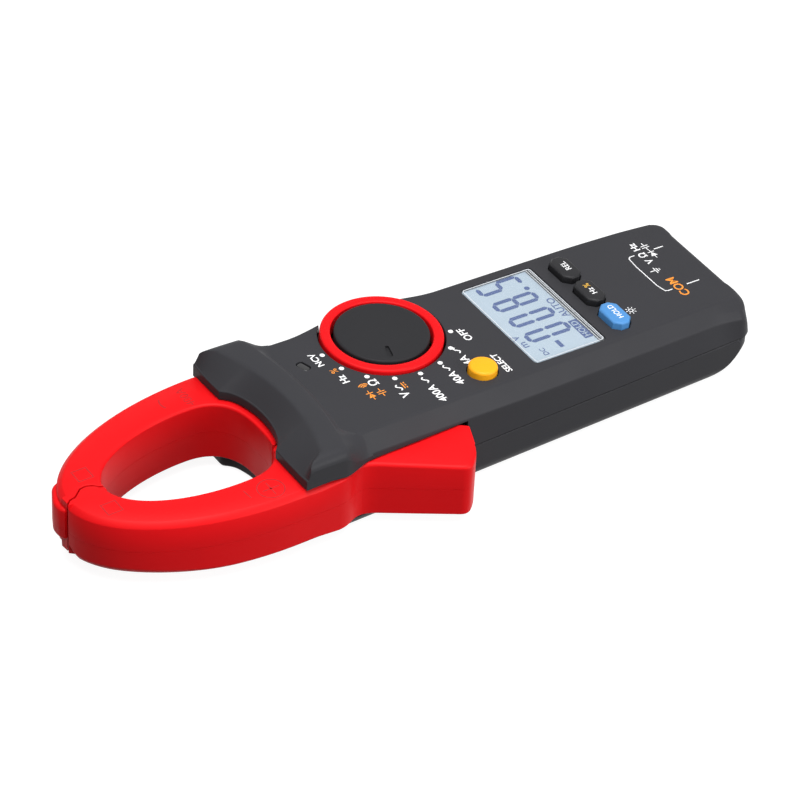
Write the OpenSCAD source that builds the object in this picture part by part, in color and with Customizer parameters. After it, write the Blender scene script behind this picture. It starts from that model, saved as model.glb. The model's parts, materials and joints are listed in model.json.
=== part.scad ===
// Clamp meter: a hand-held current clamp with a hinged jaw, a trigger, a
// rotary selector, four buttons, a display and two 4 mm input sockets.
//
// Frame: x = 0 is the middle of the body, y = 0 is the selector's axis, z = 0
// is the flat back. +Y points to the jaws, +Z out of the face. Lengths in mm.

/* [Case] */
// Distance from the selector's axis to the tail
tail_len = 104.2; // [98:0.2:110]
// Height of the face above the back, at the selector
face_h = 28.9; // [28.2:0.1:31]
// Slope of the face, falling towards the tail, in degrees
face_tilt = 2.3; // [1.6:0.1:2.6]
// Half of the flat face's width, at the selector
face_half_w = 22.4; // [21.6:0.1:23.4]
// How far the long bevel drops from the face
bevel_drop = 5.75; // [5.2:0.05:6.1]
// How far the long bevel runs outwards
bevel_run = 3.7; // [3.2:0.1:4.2]
// Half of the case's width at its parting line, at the selector
side_half_w = 27.1; // [26.7:0.1:29]
// Narrowing of each side towards the tail, in degrees
side_taper = 0.6; // [0.4:0.1:1.3]
// Inward lean of the walls above the parting line, in degrees
side_lean = 6.2; // [4:0.1:7]
// Height of the parting line between the two case shells
parting_h = 14; // [13.6:0.1:14.6]
// Wall of the case shells
wall = 2; // [1.6:0.1:2.2]
// Radius of the long lower edges
base_round = 5.8; // [4:0.1:7]
// Radius of the tail's corners, seen from above
tail_corner_r = 6; // [6:0.5:11]
// Length over which the back curves up to the tail
tail_rise_len = 13.2; // [10:0.2:15]

/* [Hand guard] */
// Half of the guard's width
guard_half_w = 29.2; // [28.6:0.1:29.4]
// Distance from the selector's axis to the guard's front
guard_front_y = 50.5; // [49.5:0.1:51.5]
// Height of the guard's front edge
guard_front_h = 26.6; // [26.2:0.1:28]
// Height of the guard's crest
guard_crest_h = 32.3; // [31.6:0.1:34]
// Distance from the selector's axis to the crest
guard_crest_y = 39.2; // [38:0.1:40.5]
// Radius of the crest, seen from above
guard_arc_r = 60; // [50:1:75]
// Distance from the selector's axis to the guard's foot on the face
guard_foot_y = 30.8; // [30.4:0.1:32]
// Depth of the hollow in the guard's front, over the jaw opening
guard_hollow = 5.1; // [4:0.1:5.6]
// Half of the hollow's width
guard_hollow_half_w = 14.5; // [13:0.1:15.5]
// Half of the width of the guard's tongue under the jaws
tongue_half_w = 22.5; // [21:0.1:26]

/* [Jaws] */
// Half of the jaws' width
jaw_half_w = 29.5; // [29.4:0.1:31]
// Distance from the selector's axis to where the jaws start to curve in
jaw_shoulder_y = 52; // [51:0.5:56]
// Distance from the selector's axis to the jaws' tip
jaw_tip_y = 108.5; // [106:0.5:112]
// Squareness of the jaws' outline: 2 is an ellipse
jaw_power = 2; // [1.9:0.02:2.1]
// Half of the opening's width
open_half_w = 16.7; // [15.5:0.1:17.2]
// Near end of the opening
open_low_y = 47.2; // [47:0.1:48]
// Where the opening is widest
open_mid_y = 62; // [58:0.5:66]
// Far end of the opening
open_top_y = 96.2; // [92:0.2:97]
// Thickness of the jaws
jaw_t = 18.8; // [18.2:0.1:18.8]
// Height of the jaws' underside
jaw_low_h = 4.8; // [4.8:0.1:5.4]
// Wall of the jaw shells
jaw_wall = 1.8; // [1.4:0.1:1.9]
// Gap between the closed jaws
jaw_gap = 0.5; // [0.4:0.05:0.7]
// How far the nose block stands out past the tip
nose_out = 1.5; // [1.5:0.1:3.5]
// Height of the nose block
nose_h = 10; // [7:0.5:12]
// Width of the iron core inside the jaws
core_w = 6.4; // [5.6:0.1:6.4]
// Height of the iron core
core_h = 10; // [8:0.1:10]
// Thickness of the winding round the core
coil_t = 1.5; // [1:0.1:1.5]

/* [Pivot and trigger] */
// How far the pivot lies to the left of the middle
pivot_left = 19; // [18.5:0.1:19.5]
// Distance from the selector's axis to the pivot, towards the jaws
pivot_y = 40; // [39.6:0.1:40.4]
// Radius of the pivot pin
pin_r = 2.5; // [2:0.05:2.8]
// Radial clearance round the pivot pin
pin_clear = 0.05; // [0.03:0.01:0.1]
// Radius of the round seam between the jaws' roots
seam_r = 12.9; // [12.5:0.1:13.1]
// Full swing of the moving jaw, in degrees
jaw_swing = 24; // [20:1:24]
// How far the trigger reaches out to the left of the middle
trigger_out = 42; // [38:0.5:43]
// Distance from the selector's axis to the trigger's tip, towards the jaws
trigger_tip_y = 5; // [3:0.5:7]
// Distance from the selector's axis to the trigger's lower end, towards the tail
trigger_end_y = 2.2; // [1.5:0.1:2.4]
// Height of the trigger's top
trigger_top_h = 22.6; // [21.5:0.1:22.7]
// Radius of the trigger's corners
trigger_corner_r = 1.8; // [1:0.1:2.4]

/* [Selector] */
// How far the selector lies to the right of the middle
dial_x = 11.8; // [11:0.1:12.4]
// Outer radius of the thumb ring
ring_r = 17.55; // [17:0.05:17.7]
// Width of the thumb ring's top
ring_w = 3.05; // [2.6:0.05:3.2]
// How far the ring stands above the face
ring_up = 1; // [0.6:0.1:1.6]
// Radius of the middle disc
disc_r = 13.6; // [13:0.1:13.7]
// How far the middle disc stands above the face
disc_up = 1.3; // [0.9:0.1:1.8]
// Depth of the round well that the ring turns in
well_depth = 4.6; // [4.4:0.1:4.8]
// Radial clearance round the ring
well_clear = 0.6; // [0.4:0.05:0.7]
// Radius of the hub that passes through the well's floor
hub_r = 8; // [7:0.1:9]
// Radial clearance round the hub
hub_clear = 0.08; // [0.05:0.01:0.1]
// Angle between two selector positions, in degrees
dial_step = 22.5; // [20:0.5:24]
// Number of selector positions
dial_stops = 8; // [6:1:9]

/* [Buttons] */
// Distance from the selector's axis to the row of long buttons
row_y = 63.2; // [62.6:0.1:64.5]
// Spacing of the long buttons
row_pitch = 12.3; // [12.1:0.1:12.8]
// Length of a long button
key_len = 10.6; // [10:0.1:10.8]
// Width of a long button
key_w = 6.2; // [5.6:0.1:6.4]
// Diameter of the round button
round_d = 8.4; // [7.6:0.1:8.6]
// How far the round button lies to the left of the middle
round_left = 14.9; // [14.4:0.1:15.1]
// Distance from the selector's axis to the round button, towards the tail
round_y = 16.1; // [15.9:0.1:16.6]
// How far the buttons stand above the face
key_up = 2.1; // [1.6:0.1:2.6]
// Travel of each button
key_travel = 0.8; // [0.5:0.05:0.9]
// Clearance round each button
key_clear = 0.25; // [0.15:0.05:0.3]

/* [Display] */
// Width of the clear window
lens_w = 38.2; // [36:0.2:38.6]
// Height of the clear window, along the body
lens_l = 24.2; // [22:0.2:24.4]
// Distance from the selector's axis to the window's middle
lens_y = 43.5; // [43.3:0.1:44]
// Thickness of the clear window
lens_t = 1.2; // [0.8:0.1:1.4]
// Thickness of the display glass
glass_t = 1.8; // [1.2:0.1:2]
// Thickness of the backlight
light_t = 2; // [1.2:0.1:2.4]

/* [Board] */
// Depth of the board's upper side below the face
board_depth = 9; // [8.9:0.05:9.3]
// Thickness of the board
board_t = 1.6; // [1:0.1:1.6]
// Half of the board's width
board_half_w = 21; // [20:0.1:21.3]

/* [Batteries] */
// Number of cells
cell_count = 3; // [2:1:3]
// Diameter of a cell
cell_d = 10.4; // [10:0.1:10.5]
// Length of a cell
cell_len = 44.5; // [43.5:0.1:44.8]
// Spacing of the cells
cell_pitch = 11.2; // [10.8:0.1:11.3]
// Half of the battery cover's width
cover_half_w = 19; // [18.6:0.1:19.6]
// Thickness of the battery cover
cover_t = 1.8; // [1.4:0.1:2]

/* [Input sockets] */
// Spacing of the two input sockets
jack_pitch = 19; // [18:0.1:20]
// Height of the input sockets above the back
jack_h = 15.5; // [15.2:0.1:15.8]
// Radius of the sockets' contact bore
jack_bore_r = 2.02; // [2:0.01:2.1]
// Outer radius of the brass contact
jack_brass_r = 2.8; // [2.6:0.05:3]
// Inner radius of the insulating sleeve
jack_sleeve_r = 4.2; // [4:0.05:4.4]
// Depth of the brass contact behind the tail
jack_sink = 4; // [3:0.1:5]
// Usable depth of the contact bore
jack_bore_len = 16; // [13:0.5:16.5]

/* [Screws] */
// Shank radius of the case screws
screw_r = 1.4; // [1.2:0.05:1.6]
// Head radius of the case screws
screw_head_r = 2.6; // [2.2:0.1:2.8]
// Shank radius of the small screws on the board and in the jaws
small_screw_r = 0.9; // [0.7:0.05:1]

/* [Hidden] */
$fn = 64;

// Finish colours
GREY = "#464648";
RED = "#e0201f";
BLACK = "#1e1e20";
STEEL = "#b9bcc0";
BRASS = "#c9a24b";
COPPER = "#b4693a";
IRON = "#77797d";
GREEN = "#2d6b3c";

FAR = 320;              // longer than any cut needs
SEAT = 0.05;            // gap between parts that are seated on each other
RUN = 0.3;              // gap between a moving part and its housing

pivot_x = -pivot_left;
jaw_top_h = jaw_low_h + jaw_t;
roof_h = jaw_top_h + RUN;
floor_h = jaw_low_h - RUN;
core_mid_h = jaw_low_h + jaw_t / 2;
well_r = ring_r + well_clear;
collar_r = well_r + 1.5;
well_floor = well_depth + 1.6;
rotor_r = 12;           // carrier under the well's floor
seam_x = pivot_x + seam_r * cos(45);
seam_y = pivot_y + seam_r * sin(45);
jaw_root_y = 29.5;
jaw_root_half_w = 23.8;
wall_end_y = 36.5;      // where the case's side walls stop and the jaws' flanks show
cavity_end_y = 29;
window_end_y = -(trigger_end_y + 1.9);
core_inset = 3.2;       // from the jaw's outer face to the iron core
coil_mid_y = open_low_y - jaw_wall - 1 - coil_t - core_w / 2 - 0.2;
root_core_x0 = -4;
root_core_x1 = jaw_half_w - core_inset;
leg_x = open_half_w + core_inset;   // inner side of the core's straight leg
tube_wall = 1.9;        // wall of the tube round the pivot pin
spring_wire = 0.55;     // radius of the jaw spring's wire
spring_r = pin_r + tube_wall + 1.4;
spring_stop = [pivot_x + 7.2, pivot_y - 15.4];
stop_angle = atan2(spring_stop[1] - pivot_y, spring_stop[0] - pivot_x);
case_post_r = 3.2;
board_post_r = 2.2;
post_tail_y = -tail_len + 14.8;
case_posts = [[-20.5, -24], [20.5, -24], [-19.5, post_tail_y], [19.5, post_tail_y]];
root_screws = [[22, 33], [-5.4, 32.6]];
post_screw_len = 20;
board_tail_y = -tail_len + 22.2;
board_posts = [[-3, -25], [-16, board_tail_y + 6], [16, board_tail_y + 6], [-3, 23]];
board_head_y = 28.4;
moving_screws = [[-22.6, 62], [-28.2, 10]];
fixed_screws = [[23.1, 48], [9.5, 99.5]];
keys = [[row_pitch, -row_y], [0, -row_y], [-row_pitch, -row_y]];
round_key = [-round_left, -round_y];
key_flange = 0.8;
stem_r = 1.8;
switch_w = 6;
switch_h = 3.5;
switch_top = board_depth - switch_h;
plunger_r = 1.6;
glass_top = 2.4;
frame_top = glass_top - 0.1 + SEAT;
frame_w = lens_w + 1.8;
frame_l = lens_l + 2.6;
light_top = glass_top + glass_t + SEAT;
under_board = board_depth + board_t + SEAT;
cell_floor = 2.6;
cell_h = cell_floor + cell_d / 2;
cell_mid_y = -tail_len + 22.7 + cell_len / 2;
bay_half_w = cell_pitch + cell_d / 2 + 1.1;
bay_head_y = cell_mid_y + cell_len / 2 + 0.6;
bay_tail_y = cell_mid_y - cell_len / 2 - 2.4;
bay_wall = 1.4;
cover_sink = 0.2;
cover_tail_y = bay_tail_y - bay_wall - 0.4;
cover_head_y = bay_head_y + bay_wall + 8;
cover_screw_y = cover_head_y - 3.6;
cover_seat = cover_sink + cover_t + SEAT;
jack_x = jack_pitch / 2;
jack_body_r = jack_sleeve_r + 1.3;
jack_back_y = bay_tail_y - bay_wall - 0.5;
jack_end_y = -tail_len + jack_sink + jack_bore_len;
tab_t = 0.5;
board_under_h = face_h + board_tail_y * tan(face_tilt) - (board_depth + board_t) / cos(face_tilt);
lamp_at = [10.1, 27];
lamp_turn = 18;
lamp_w = 4.2;
lamp_l = 2.4;
plate_w = 16.8;         // sensing plate under the guard
plate_l = 8.8;
plate_room = 0.6;
plate_at = [dial_x - 9.2, guard_crest_y - 5.6];
chip_w = 12;
chip_at = [1, -lens_y - 0.5];
crystal_w = 10;
crystal_at = chip_at + [-14, -8];

// ---------------------------------------------------------------- placing

// Places its children on the face: z = 0 is the face, y runs along it.
module on_face() translate([0, 0, face_h]) rotate([face_tilt, 0, 0]) children();

// The same at one spot of the face.
module at_face(p) on_face() translate([p[0], p[1], 0]) children();

// A solid that reaches from depth d0 to depth d1 below the face.
module below(d0, d1) translate([0, 0, -d1]) linear_extrude(d1 - d0) children();

// ---------------------------------------------------------------- outlines

function arc(cx, cy, r, a0, a1, n = 10) =
    [for (i = [0 : n]) let (a = a0 + (a1 - a0) * i / n) [cx + r * cos(a), cy + r * sin(a)]];

// Quarters of a rounded curve x/a, y/b with the given power, from angle a0 to a1.
function curve(cy, a, b, power, a0, a1, n = 20) =
    [for (i = [0 : n]) let (t = a0 + (a1 - a0) * i / n)
        [a * sign(cos(t)) * pow(abs(cos(t)), 2 / power),
         cy + b * sign(sin(t)) * pow(abs(sin(t)), 2 / power)]];

function jaw_outline(inset) = concat(
    [[-(jaw_half_w - inset), 20], [jaw_half_w - inset, 20]],
    curve(jaw_shoulder_y, jaw_half_w - inset, jaw_tip_y - jaw_shoulder_y - inset, jaw_power, 0, 180, 44));

function opening_outline(out) = concat(
    curve(open_mid_y, open_half_w + out, open_top_y - open_mid_y + out, 2, 0, 180, 32),
    curve(open_mid_y, open_half_w + out, open_mid_y - open_low_y + out, 2.6, 180, 360, 28));

// The moving jaw's side of the split at the tip, drawn from the far end down.
function tip_split(shift) = [
    [-1.6 + shift, jaw_tip_y + 4], [-1.6 + shift, jaw_tip_y - 0.5], [0 + shift, jaw_tip_y - 3],
    [1.2 + shift, jaw_tip_y - 5], [2.4 + shift, jaw_tip_y - 6.8], [1.6 + shift, jaw_tip_y - 9.7],
    [-0.9 + shift, open_top_y - 1], [-0.9 + shift, open_mid_y]];

// ---------------------------------------------------------------- case form

// One long side of the case as a section, reaching far to the left.
module side_section(inset) {
    w = side_half_w - inset;
    r = base_round - inset / 2;
    top_x = w - (FAR / 2) * tan(side_lean);
    polygon(concat(
        [[-FAR, inset], [w - 0.5 - r, inset]],
        arc(w - 0.5 - r, inset + r, r, -90, 0, 8),
        [[w, parting_h], [top_x, parting_h + FAR / 2], [-FAR, parting_h + FAR / 2]]));
}

module side_cut(inset) rotate([0, 0, -side_taper]) translate([0, FAR / 2, 0])
    rotate([90, 0, 0]) linear_extrude(FAR) side_section(inset);

// The case's side walls, back and tail, without the face.
module case_walls(inset) intersection() {
    side_cut(inset);
    mirror([1, 0, 0]) side_cut(inset);
    case_plan(inset);
    case_profile(inset);
}

module case_plan(inset) {
    w = side_half_w - tail_len * tan(side_taper) - inset;
    r = tail_corner_r;
    mid = tail_len / 2;
    mid_w = w + mid * tan(side_taper);
    linear_extrude(FAR) polygon(concat(
        [[FAR / 2, wall_end_y], [-FAR / 2, wall_end_y], [-FAR / 2, -mid], [-mid_w, -mid]],
        arc(-w + r, -tail_len + inset + r, r, 180, 270),
        arc(w - r, -tail_len + inset + r, r, 270, 360),
        [[mid_w, -mid], [FAR / 2, -mid]]));
}

// Side view: the back curves up to the tail, the tail's upper edge is rounded.
module case_profile(inset) {
    y0 = -tail_len + inset;
    top = face_h - tail_len * tan(face_tilt) - inset;
    rise = [for (i = [0 : 10]) let (a = 180 + 9 * i)
        [y0 + tail_rise_len * (1 + cos(a)), parting_h + (parting_h - inset) * sin(a)]];
    rotate([90, 0, 90]) translate([0, 0, -FAR / 2]) linear_extrude(FAR) polygon(concat(
        rise, [[FAR, inset], [FAR, FAR / 2], [y0 + 8, FAR / 2], [y0 + 8, top + 0.4]],
        arc(y0 + 2.6, top - 2.2, 2.2, 90, 180, 6)));
}

// The face with its long bevels, as a cutting form.
module face_cut(inset) on_face() intersection_for (s = [0, 1]) mirror([s, 0, 0])
    rotate([0, 0, -side_taper]) translate([0, FAR / 2, 0]) rotate([90, 0, 0]) linear_extrude(FAR)
        polygon([[-FAR, -FAR], [-FAR, -inset], [face_half_w - inset * 0.7, -inset],
                 [face_half_w - inset * 0.7 + bevel_run / bevel_drop * FAR, -inset - FAR]]);

module case_block(inset) intersection() {
    case_walls(inset);
    face_cut(inset);
}

module slab(z0, z1) translate([-FAR / 2, -FAR / 2, z0]) cube([FAR, FAR, z1 - z0]);

// The hollow in the guard's front edge, over the jaw opening.
module guard_hollow_cut() {
    r = (pow(guard_hollow_half_w, 2) + pow(guard_hollow, 2)) / (2 * guard_hollow);
    translate([0, guard_front_y - guard_hollow + r, -1]) cylinder(r = r, h = FAR, $fn = 128);
}

module guard_plan(y0, half_w) translate([-half_w, y0, 0])
    cube([2 * half_w, guard_front_y - y0, FAR / 2]);

// The guard over the jaws: a ridge that curves round the jaw end of the face.
module guard_top() {
    hub_y = guard_crest_y + guard_arc_r;
    foot_h = face_h + guard_foot_y * tan(face_tilt) - 0.4;
    difference() {
        intersection() {
            guard_plan(guard_foot_y - 3, guard_half_w);
            translate([0, hub_y, 0]) rotate([0, 0, 180]) rotate_extrude($fn = 180) polygon([
                [20, roof_h], [20, guard_front_h - 6], [hub_y - guard_front_y, guard_front_h],
                [guard_arc_r - 2, guard_crest_h - 0.4], [guard_arc_r, guard_crest_h],
                [guard_arc_r + 2, guard_crest_h - 0.1], [hub_y - guard_foot_y, foot_h],
                [hub_y - guard_foot_y + 4, foot_h - 3], [hub_y - guard_foot_y + 12, roof_h]]);
            rotate([90, 0, 0]) translate([0, 0, -FAR / 2]) linear_extrude(FAR) polygon([
                [-guard_half_w, roof_h], [guard_half_w, roof_h],
                [guard_half_w, guard_front_h], [face_half_w + 3, guard_crest_h - 1.6],
                [face_half_w - 2, guard_crest_h + 1], [-face_half_w + 2, guard_crest_h + 1],
                [-face_half_w - 3, guard_crest_h - 1.6], [-guard_half_w, guard_front_h]]);
        }
        guard_hollow_cut();
    }
}

// The tongue of the guard under the jaws, part of the rear shell.
module guard_bottom() difference() {
    intersection() {
        guard_plan(guard_foot_y - 3, tongue_half_w);
        slab(0, floor_h);
        rotate([90, 0, 0]) translate([0, 0, -FAR / 2]) linear_extrude(FAR) polygon([
            [-tongue_half_w + 3, 0], [tongue_half_w - 3, 0], [tongue_half_w, floor_h - 1.4],
            [tongue_half_w, FAR / 4], [-tongue_half_w, FAR / 4], [-tongue_half_w, floor_h - 1.4]]);
    }
    guard_hollow_cut();
}

// Opening in the left wall that the trigger moves through.
module trigger_window() difference() {
    translate([-FAR / 2, window_end_y, floor_h])
        cube([FAR / 2 - side_half_w + wall + 4, FAR / 2, FAR / 4]);
    on_face() below(-FAR / 4, bevel_drop) square([2 * FAR, 2 * FAR], center = true);
}

module jack_holes(r) for (s = [-1, 1]) translate([s * jack_x, -tail_len - 1, jack_h])
    rotate([-90, 0, 0]) cylinder(r = r, h = wall * 2 + 4);

// ---------------------------------------------------------------- case shells

module front_case() color(GREY) difference() {
    union() {
        intersection() {
            difference() {
                case_block(0);
                intersection() {
                    case_block(wall);
                    translate([-FAR / 2, -FAR / 2, 0]) cube([FAR, FAR / 2 + cavity_end_y, FAR]);
                }
                translate([-FAR / 2, cavity_end_y - 1, 0]) cube([FAR, FAR, roof_h]);
            }
            slab(parting_h, FAR / 2);
        }
        right_wall_head(parting_h, roof_h);
        dial_collar();
        guard_top();
        front_posts();
        lens_ledge();
    }
    on_face() {
        translate([dial_x, 0, -well_depth]) cylinder(r = well_r, h = FAR / 4, $fn = 96);
        translate([dial_x, 0, -FAR / 8]) cylinder(r = hub_r + hub_clear, h = FAR / 4, $fn = 96);
        translate([-lens_w / 2 - 0.1, -lens_y - lens_l / 2 - 0.1, -lens_t - SEAT])
            cube([lens_w + 0.2, lens_l + 0.2, 5]);
        translate([-lens_w / 2 + 0.9, -lens_y - lens_l / 2 + 0.9, -6])
            cube([lens_w - 1.8, lens_l - 1.8, 8]);
        translate([round_key[0], round_key[1], -6]) cylinder(r = round_d / 2 + key_clear, h = 9);
        for (k = keys) translate([k[0], k[1], -6]) linear_extrude(9) key_outline(key_clear);
        lamp_place() translate([0, 0, -7])
            cube([lamp_w + 2 * SEAT, lamp_l + 2 * SEAT, 20], center = true);
        for (p = board_posts) translate([p[0], p[1], -board_depth - 1])
            cylinder(r = small_screw_r + 0.03, h = 6, $fn = 32);
    }
    display_pocket();
    trigger_window();
    translate([pivot_x, pivot_y, roof_h - 1]) cylinder(r = pin_r + pin_clear, h = 3.2);
    for (p = case_posts) translate([p[0], p[1], parting_h - 1])
        cylinder(r = screw_r + 0.03, h = post_screw_len - parting_h + 2, $fn = 32);
    for (p = root_screws) translate([p[0], p[1], parting_h - 1])
        cylinder(r = screw_r + 0.03, h = roof_h - parting_h + 2.4, $fn = 32);
    sense_pocket();
    jack_holes(jack_body_r + SEAT);
}

// Where the right wall ends and the fixed jaw's flank takes over.
module right_wall_head(z0, z1) intersection() {
    case_walls(0);
    slab(z0, z1);
    translate([jaw_root_half_w + RUN, cavity_end_y - 2, 0]) cube([FAR, wall_end_y - cavity_end_y + 2, FAR]);
}

// Collar round the selector's well; it closes the wall beside the ring.
module dial_collar() intersection() {
    case_walls(0);
    on_face() translate([dial_x, 0, 0]) below(0, well_floor) circle(r = collar_r, $fn = 96);
}

module front_posts() intersection() {
    case_block(wall / 2);
    union() {
        for (p = case_posts) translate([p[0], p[1], parting_h])
            cylinder(r = case_post_r, h = FAR / 4, $fn = 48);
        for (p = board_posts) at_face(p) below(wall / 2, board_depth) circle(r = board_post_r, $fn = 48);
    }
}

// Ledge under the clear window.
module lens_ledge() at_face([0, -lens_y])
    below(wall / 2, glass_top - 0.1) square([frame_w + 1.2, frame_l + 0.4], center = true);

// Room for the display's frame inside the face shell.
module display_pocket() at_face([0, -lens_y]) below(frame_top - SEAT, board_depth)
    square([frame_w + 2 * SEAT, frame_l + 2 * SEAT], center = true);

// Pocket for the sensing plate, under the guard's crest.
module sense_pocket() translate([plate_at[0] - plate_room, plate_at[1] - plate_room, roof_h - 1])
    cube([plate_w + 2 * plate_room, plate_l + 2 * plate_room, 3.4]);

module lamp_place() translate([lamp_at[0], lamp_at[1], 0]) rotate([0, 0, lamp_turn]) children();

module rear_case() color(GREY) difference() {
    union() {
        intersection() {
            difference() {
                case_walls(0);
                difference() {
                    case_walls(wall);
                    translate([-FAR / 2, cavity_end_y + 1, 0]) cube([FAR, FAR, floor_h]);
                }
            }
            slab(0, parting_h);
        }
        guard_bottom();
        right_wall_head(floor_h - 1, parting_h);
        rear_posts();
        battery_bay();
    }
    trigger_window();
    translate([-cover_half_w - 0.2, cover_tail_y - 0.2, -1])
        cube([2 * cover_half_w + 0.4, cover_head_y - cover_tail_y + 0.4, cover_seat + 1]);
    translate([-bay_half_w, bay_tail_y, -1])
        cube([2 * bay_half_w, bay_head_y - bay_tail_y, parting_h + 1]);
    translate([0, cover_screw_y, 0]) cylinder(r = screw_r + 0.03, h = 8, $fn = 32);
    translate([pivot_x, pivot_y, 2]) cylinder(r = pin_r + pin_clear, h = 10);
    for (p = concat(case_posts, root_screws)) translate([p[0], p[1], -1]) {
        cylinder(r = screw_r + 0.25, h = FAR, $fn = 32);
        cylinder(r = screw_head_r + 0.3, h = 3.05, $fn = 48);
    }
    translate([-FAR / 2, cavity_end_y + 1, floor_h]) cube([FAR / 2 + jaw_root_half_w + RUN, FAR, FAR]);
    jack_holes(jack_body_r + SEAT);
}

module rear_posts() intersection() {
    case_walls(wall / 2);
    union() {
        for (p = case_posts) translate([p[0], p[1], 0])
            cylinder(r = case_post_r, h = parting_h, $fn = 48);
        translate([spring_stop[0], spring_stop[1], 0]) cylinder(r = 1.5, h = core_mid_h + 3, $fn = 32);
    }
}

// Walls, seat and screw boss of the battery bay.
module battery_bay() {
    translate([-cover_half_w - 1.2, cover_tail_y - 1.2, 1])
        cube([2 * cover_half_w + 2.4, cover_head_y - cover_tail_y + 2.4, cover_seat + 0.6]);
    translate([-bay_half_w - bay_wall, bay_tail_y - bay_wall, 1])
        cube([2 * (bay_half_w + bay_wall), bay_head_y - bay_tail_y + 2 * bay_wall, cell_h + 2]);
    translate([0, cover_screw_y, 1]) cylinder(r = 3, h = 7.6, $fn = 48);
}

module screw(len, r, head_r, head_t) {
    cylinder(r = head_r, h = head_t, $fn = 48);
    translate([0, 0, head_t]) cylinder(r = r, h = len - head_t, $fn = 32);
}

module case_screws() color(STEEL) {
    for (p = case_posts) translate([p[0], p[1], 0.4]) screw(post_screw_len, screw_r, screw_head_r, 1.6);
    for (p = root_screws) translate([p[0], p[1], 0.4]) screw(roof_h + 0.6, screw_r, screw_head_r, 1.6);
}

module battery_cover() color(GREY) difference() {
    translate([-cover_half_w, cover_tail_y, cover_sink])
        cube([2 * cover_half_w, cover_head_y - cover_tail_y, cover_t]);
    translate([0, cover_screw_y, -1]) {
        cylinder(r = screw_r + 0.1, h = 10, $fn = 32);
        cylinder(r = screw_head_r + 0.1, h = 1 + cover_sink + 1, $fn = 48);
    }
}

module battery_screw() color(STEEL) translate([0, cover_screw_y, cover_sink + 0.1])
    screw(7, screw_r, screw_head_r, 0.9);

// ---------------------------------------------------------------- jaws

module jaw_slab(z0, z1, inset) translate([0, 0, z0]) linear_extrude(z1 - z0) polygon(jaw_outline(inset));

module opening_cut(out) translate([0, 0, -1]) linear_extrude(FAR) polygon(opening_outline(out));

// Everything on the moving jaw's side of the split at the tip, above the seam.
module left_side(shift) translate([0, 0, -1]) linear_extrude(FAR) polygon(concat(
    tip_split(shift), [[-0.9 + shift, 20], [-FAR, 20], [-FAR, jaw_tip_y + 4]]));

module seam_disc(r) translate([pivot_x, pivot_y, -1]) cylinder(r = r, h = FAR, $fn = 96);

// Where the moving jaw may lie: left of the tip split, and inside the seam below the opening.
module moving_zone(shrink) intersection() {
    left_side(-jaw_gap / 2 - shrink);
    union() {
        translate([-FAR, pivot_y, -1]) cube([FAR + seam_x - shrink, FAR, FAR]);
        translate([-FAR, open_mid_y, -1]) cube([2 * FAR, FAR, FAR]);
        seam_disc(seam_r - shrink);
    }
}

// Seen from above: the trigger and the arm that joins it to the jaw.
function trigger_outline(inset) =
    let (tip = [-trigger_out, trigger_tip_y], end = [-trigger_out + 13.2, -trigger_end_y],
         r = trigger_corner_r)
    concat(
        [[-jaw_half_w + inset, 46], [-jaw_half_w + inset, 41.5], [-28.4 + inset, 38.6],
         [-27.5 + inset, 35.5], [-27.6 + inset, 30]],
        arc(tip[0] + r, tip[1] + r * 0.9, r - inset / 2, 150, 240, 6),
        arc(end[0] + 0.2, end[1] + r, r - inset / 2, 240, 300, 6),
        [[-24 - inset, 0.6 + inset], [-22.6 - inset, 12], [-20.5 - inset, 24], [-15, 30], [-15, 46]]);

module trigger_form(z0, z1, inset) translate([0, 0, z0]) linear_extrude(z1 - z0)
    polygon(trigger_outline(inset));

module moving_jaw_form(z0, z1, inset) union() {
    difference() {
        intersection() {
            jaw_slab(z0, z1, inset);
            moving_zone(inset);
        }
        opening_cut(inset);
        translate([-FAR, -FAR, -1]) cube([2 * FAR, FAR + pivot_y - 2, FAR]);
    }
    intersection() {
        union() {
            trigger_form(z0, min(z1, trigger_top_h - inset), inset);
            translate([0, 0, z0]) linear_extrude(z1 - z0)
                translate([-jaw_half_w + inset, pivot_y - 6]) square([12, 8]);
        }
        slab(z0, z1);
    }
    intersection() {
        translate([pivot_x, pivot_y, z0]) cylinder(r = seam_r - inset, h = z1 - z0, $fn = 96);
        translate([-27.5 + inset, 0, 0]) cube([FAR, seam_y, FAR]);
    }
}

module fixed_jaw_form(z0, z1, inset) {
    difference() {
        union() {
            intersection() {
                jaw_slab(z0, z1, inset);
                translate([-FAR, wall_end_y + 0.4 + inset, -1]) cube([2 * FAR, FAR, FAR]);
            }
            translate([-12 + inset, jaw_root_y + inset, z0])
                cube([12 + jaw_root_half_w - 2 * inset, 12, z1 - z0]);
            nose(z0, z1, inset);
        }
        opening_cut(inset);
        intersection() {
            left_side(jaw_gap / 2 + inset);
            translate([-FAR, open_mid_y, -1]) cube([2 * FAR, FAR, FAR]);
        }
        translate([-FAR, pivot_y, -1]) cube([FAR + seam_x + RUN + inset, open_mid_y - pivot_y, FAR]);
        seam_disc(seam_r + RUN + inset);
        translate([-FAR, 0, -1]) cube([FAR + pivot_x + 6, pivot_y + 10, FAR]);
    }
}

// Block that guards the tip, on the fixed jaw.
module nose(z0, z1, inset) {
    top = jaw_tip_y + nose_out;
    lo = max(z0, core_mid_h - nose_h / 2 + inset);
    hi = min(z1, core_mid_h + nose_h / 2 - inset);
    if (hi > lo && inset == 0)
        translate([0, 0, lo]) linear_extrude(hi - lo) polygon([
            [-0.6, jaw_tip_y - 4], [-0.9, jaw_tip_y - 0.2], [1, top - 1], [3.4, top],
            [5.8, top - 0.2], [12.6, top - 4.2], [13.8, top - 7.6], [8, jaw_tip_y - 10]]);
}

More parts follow.
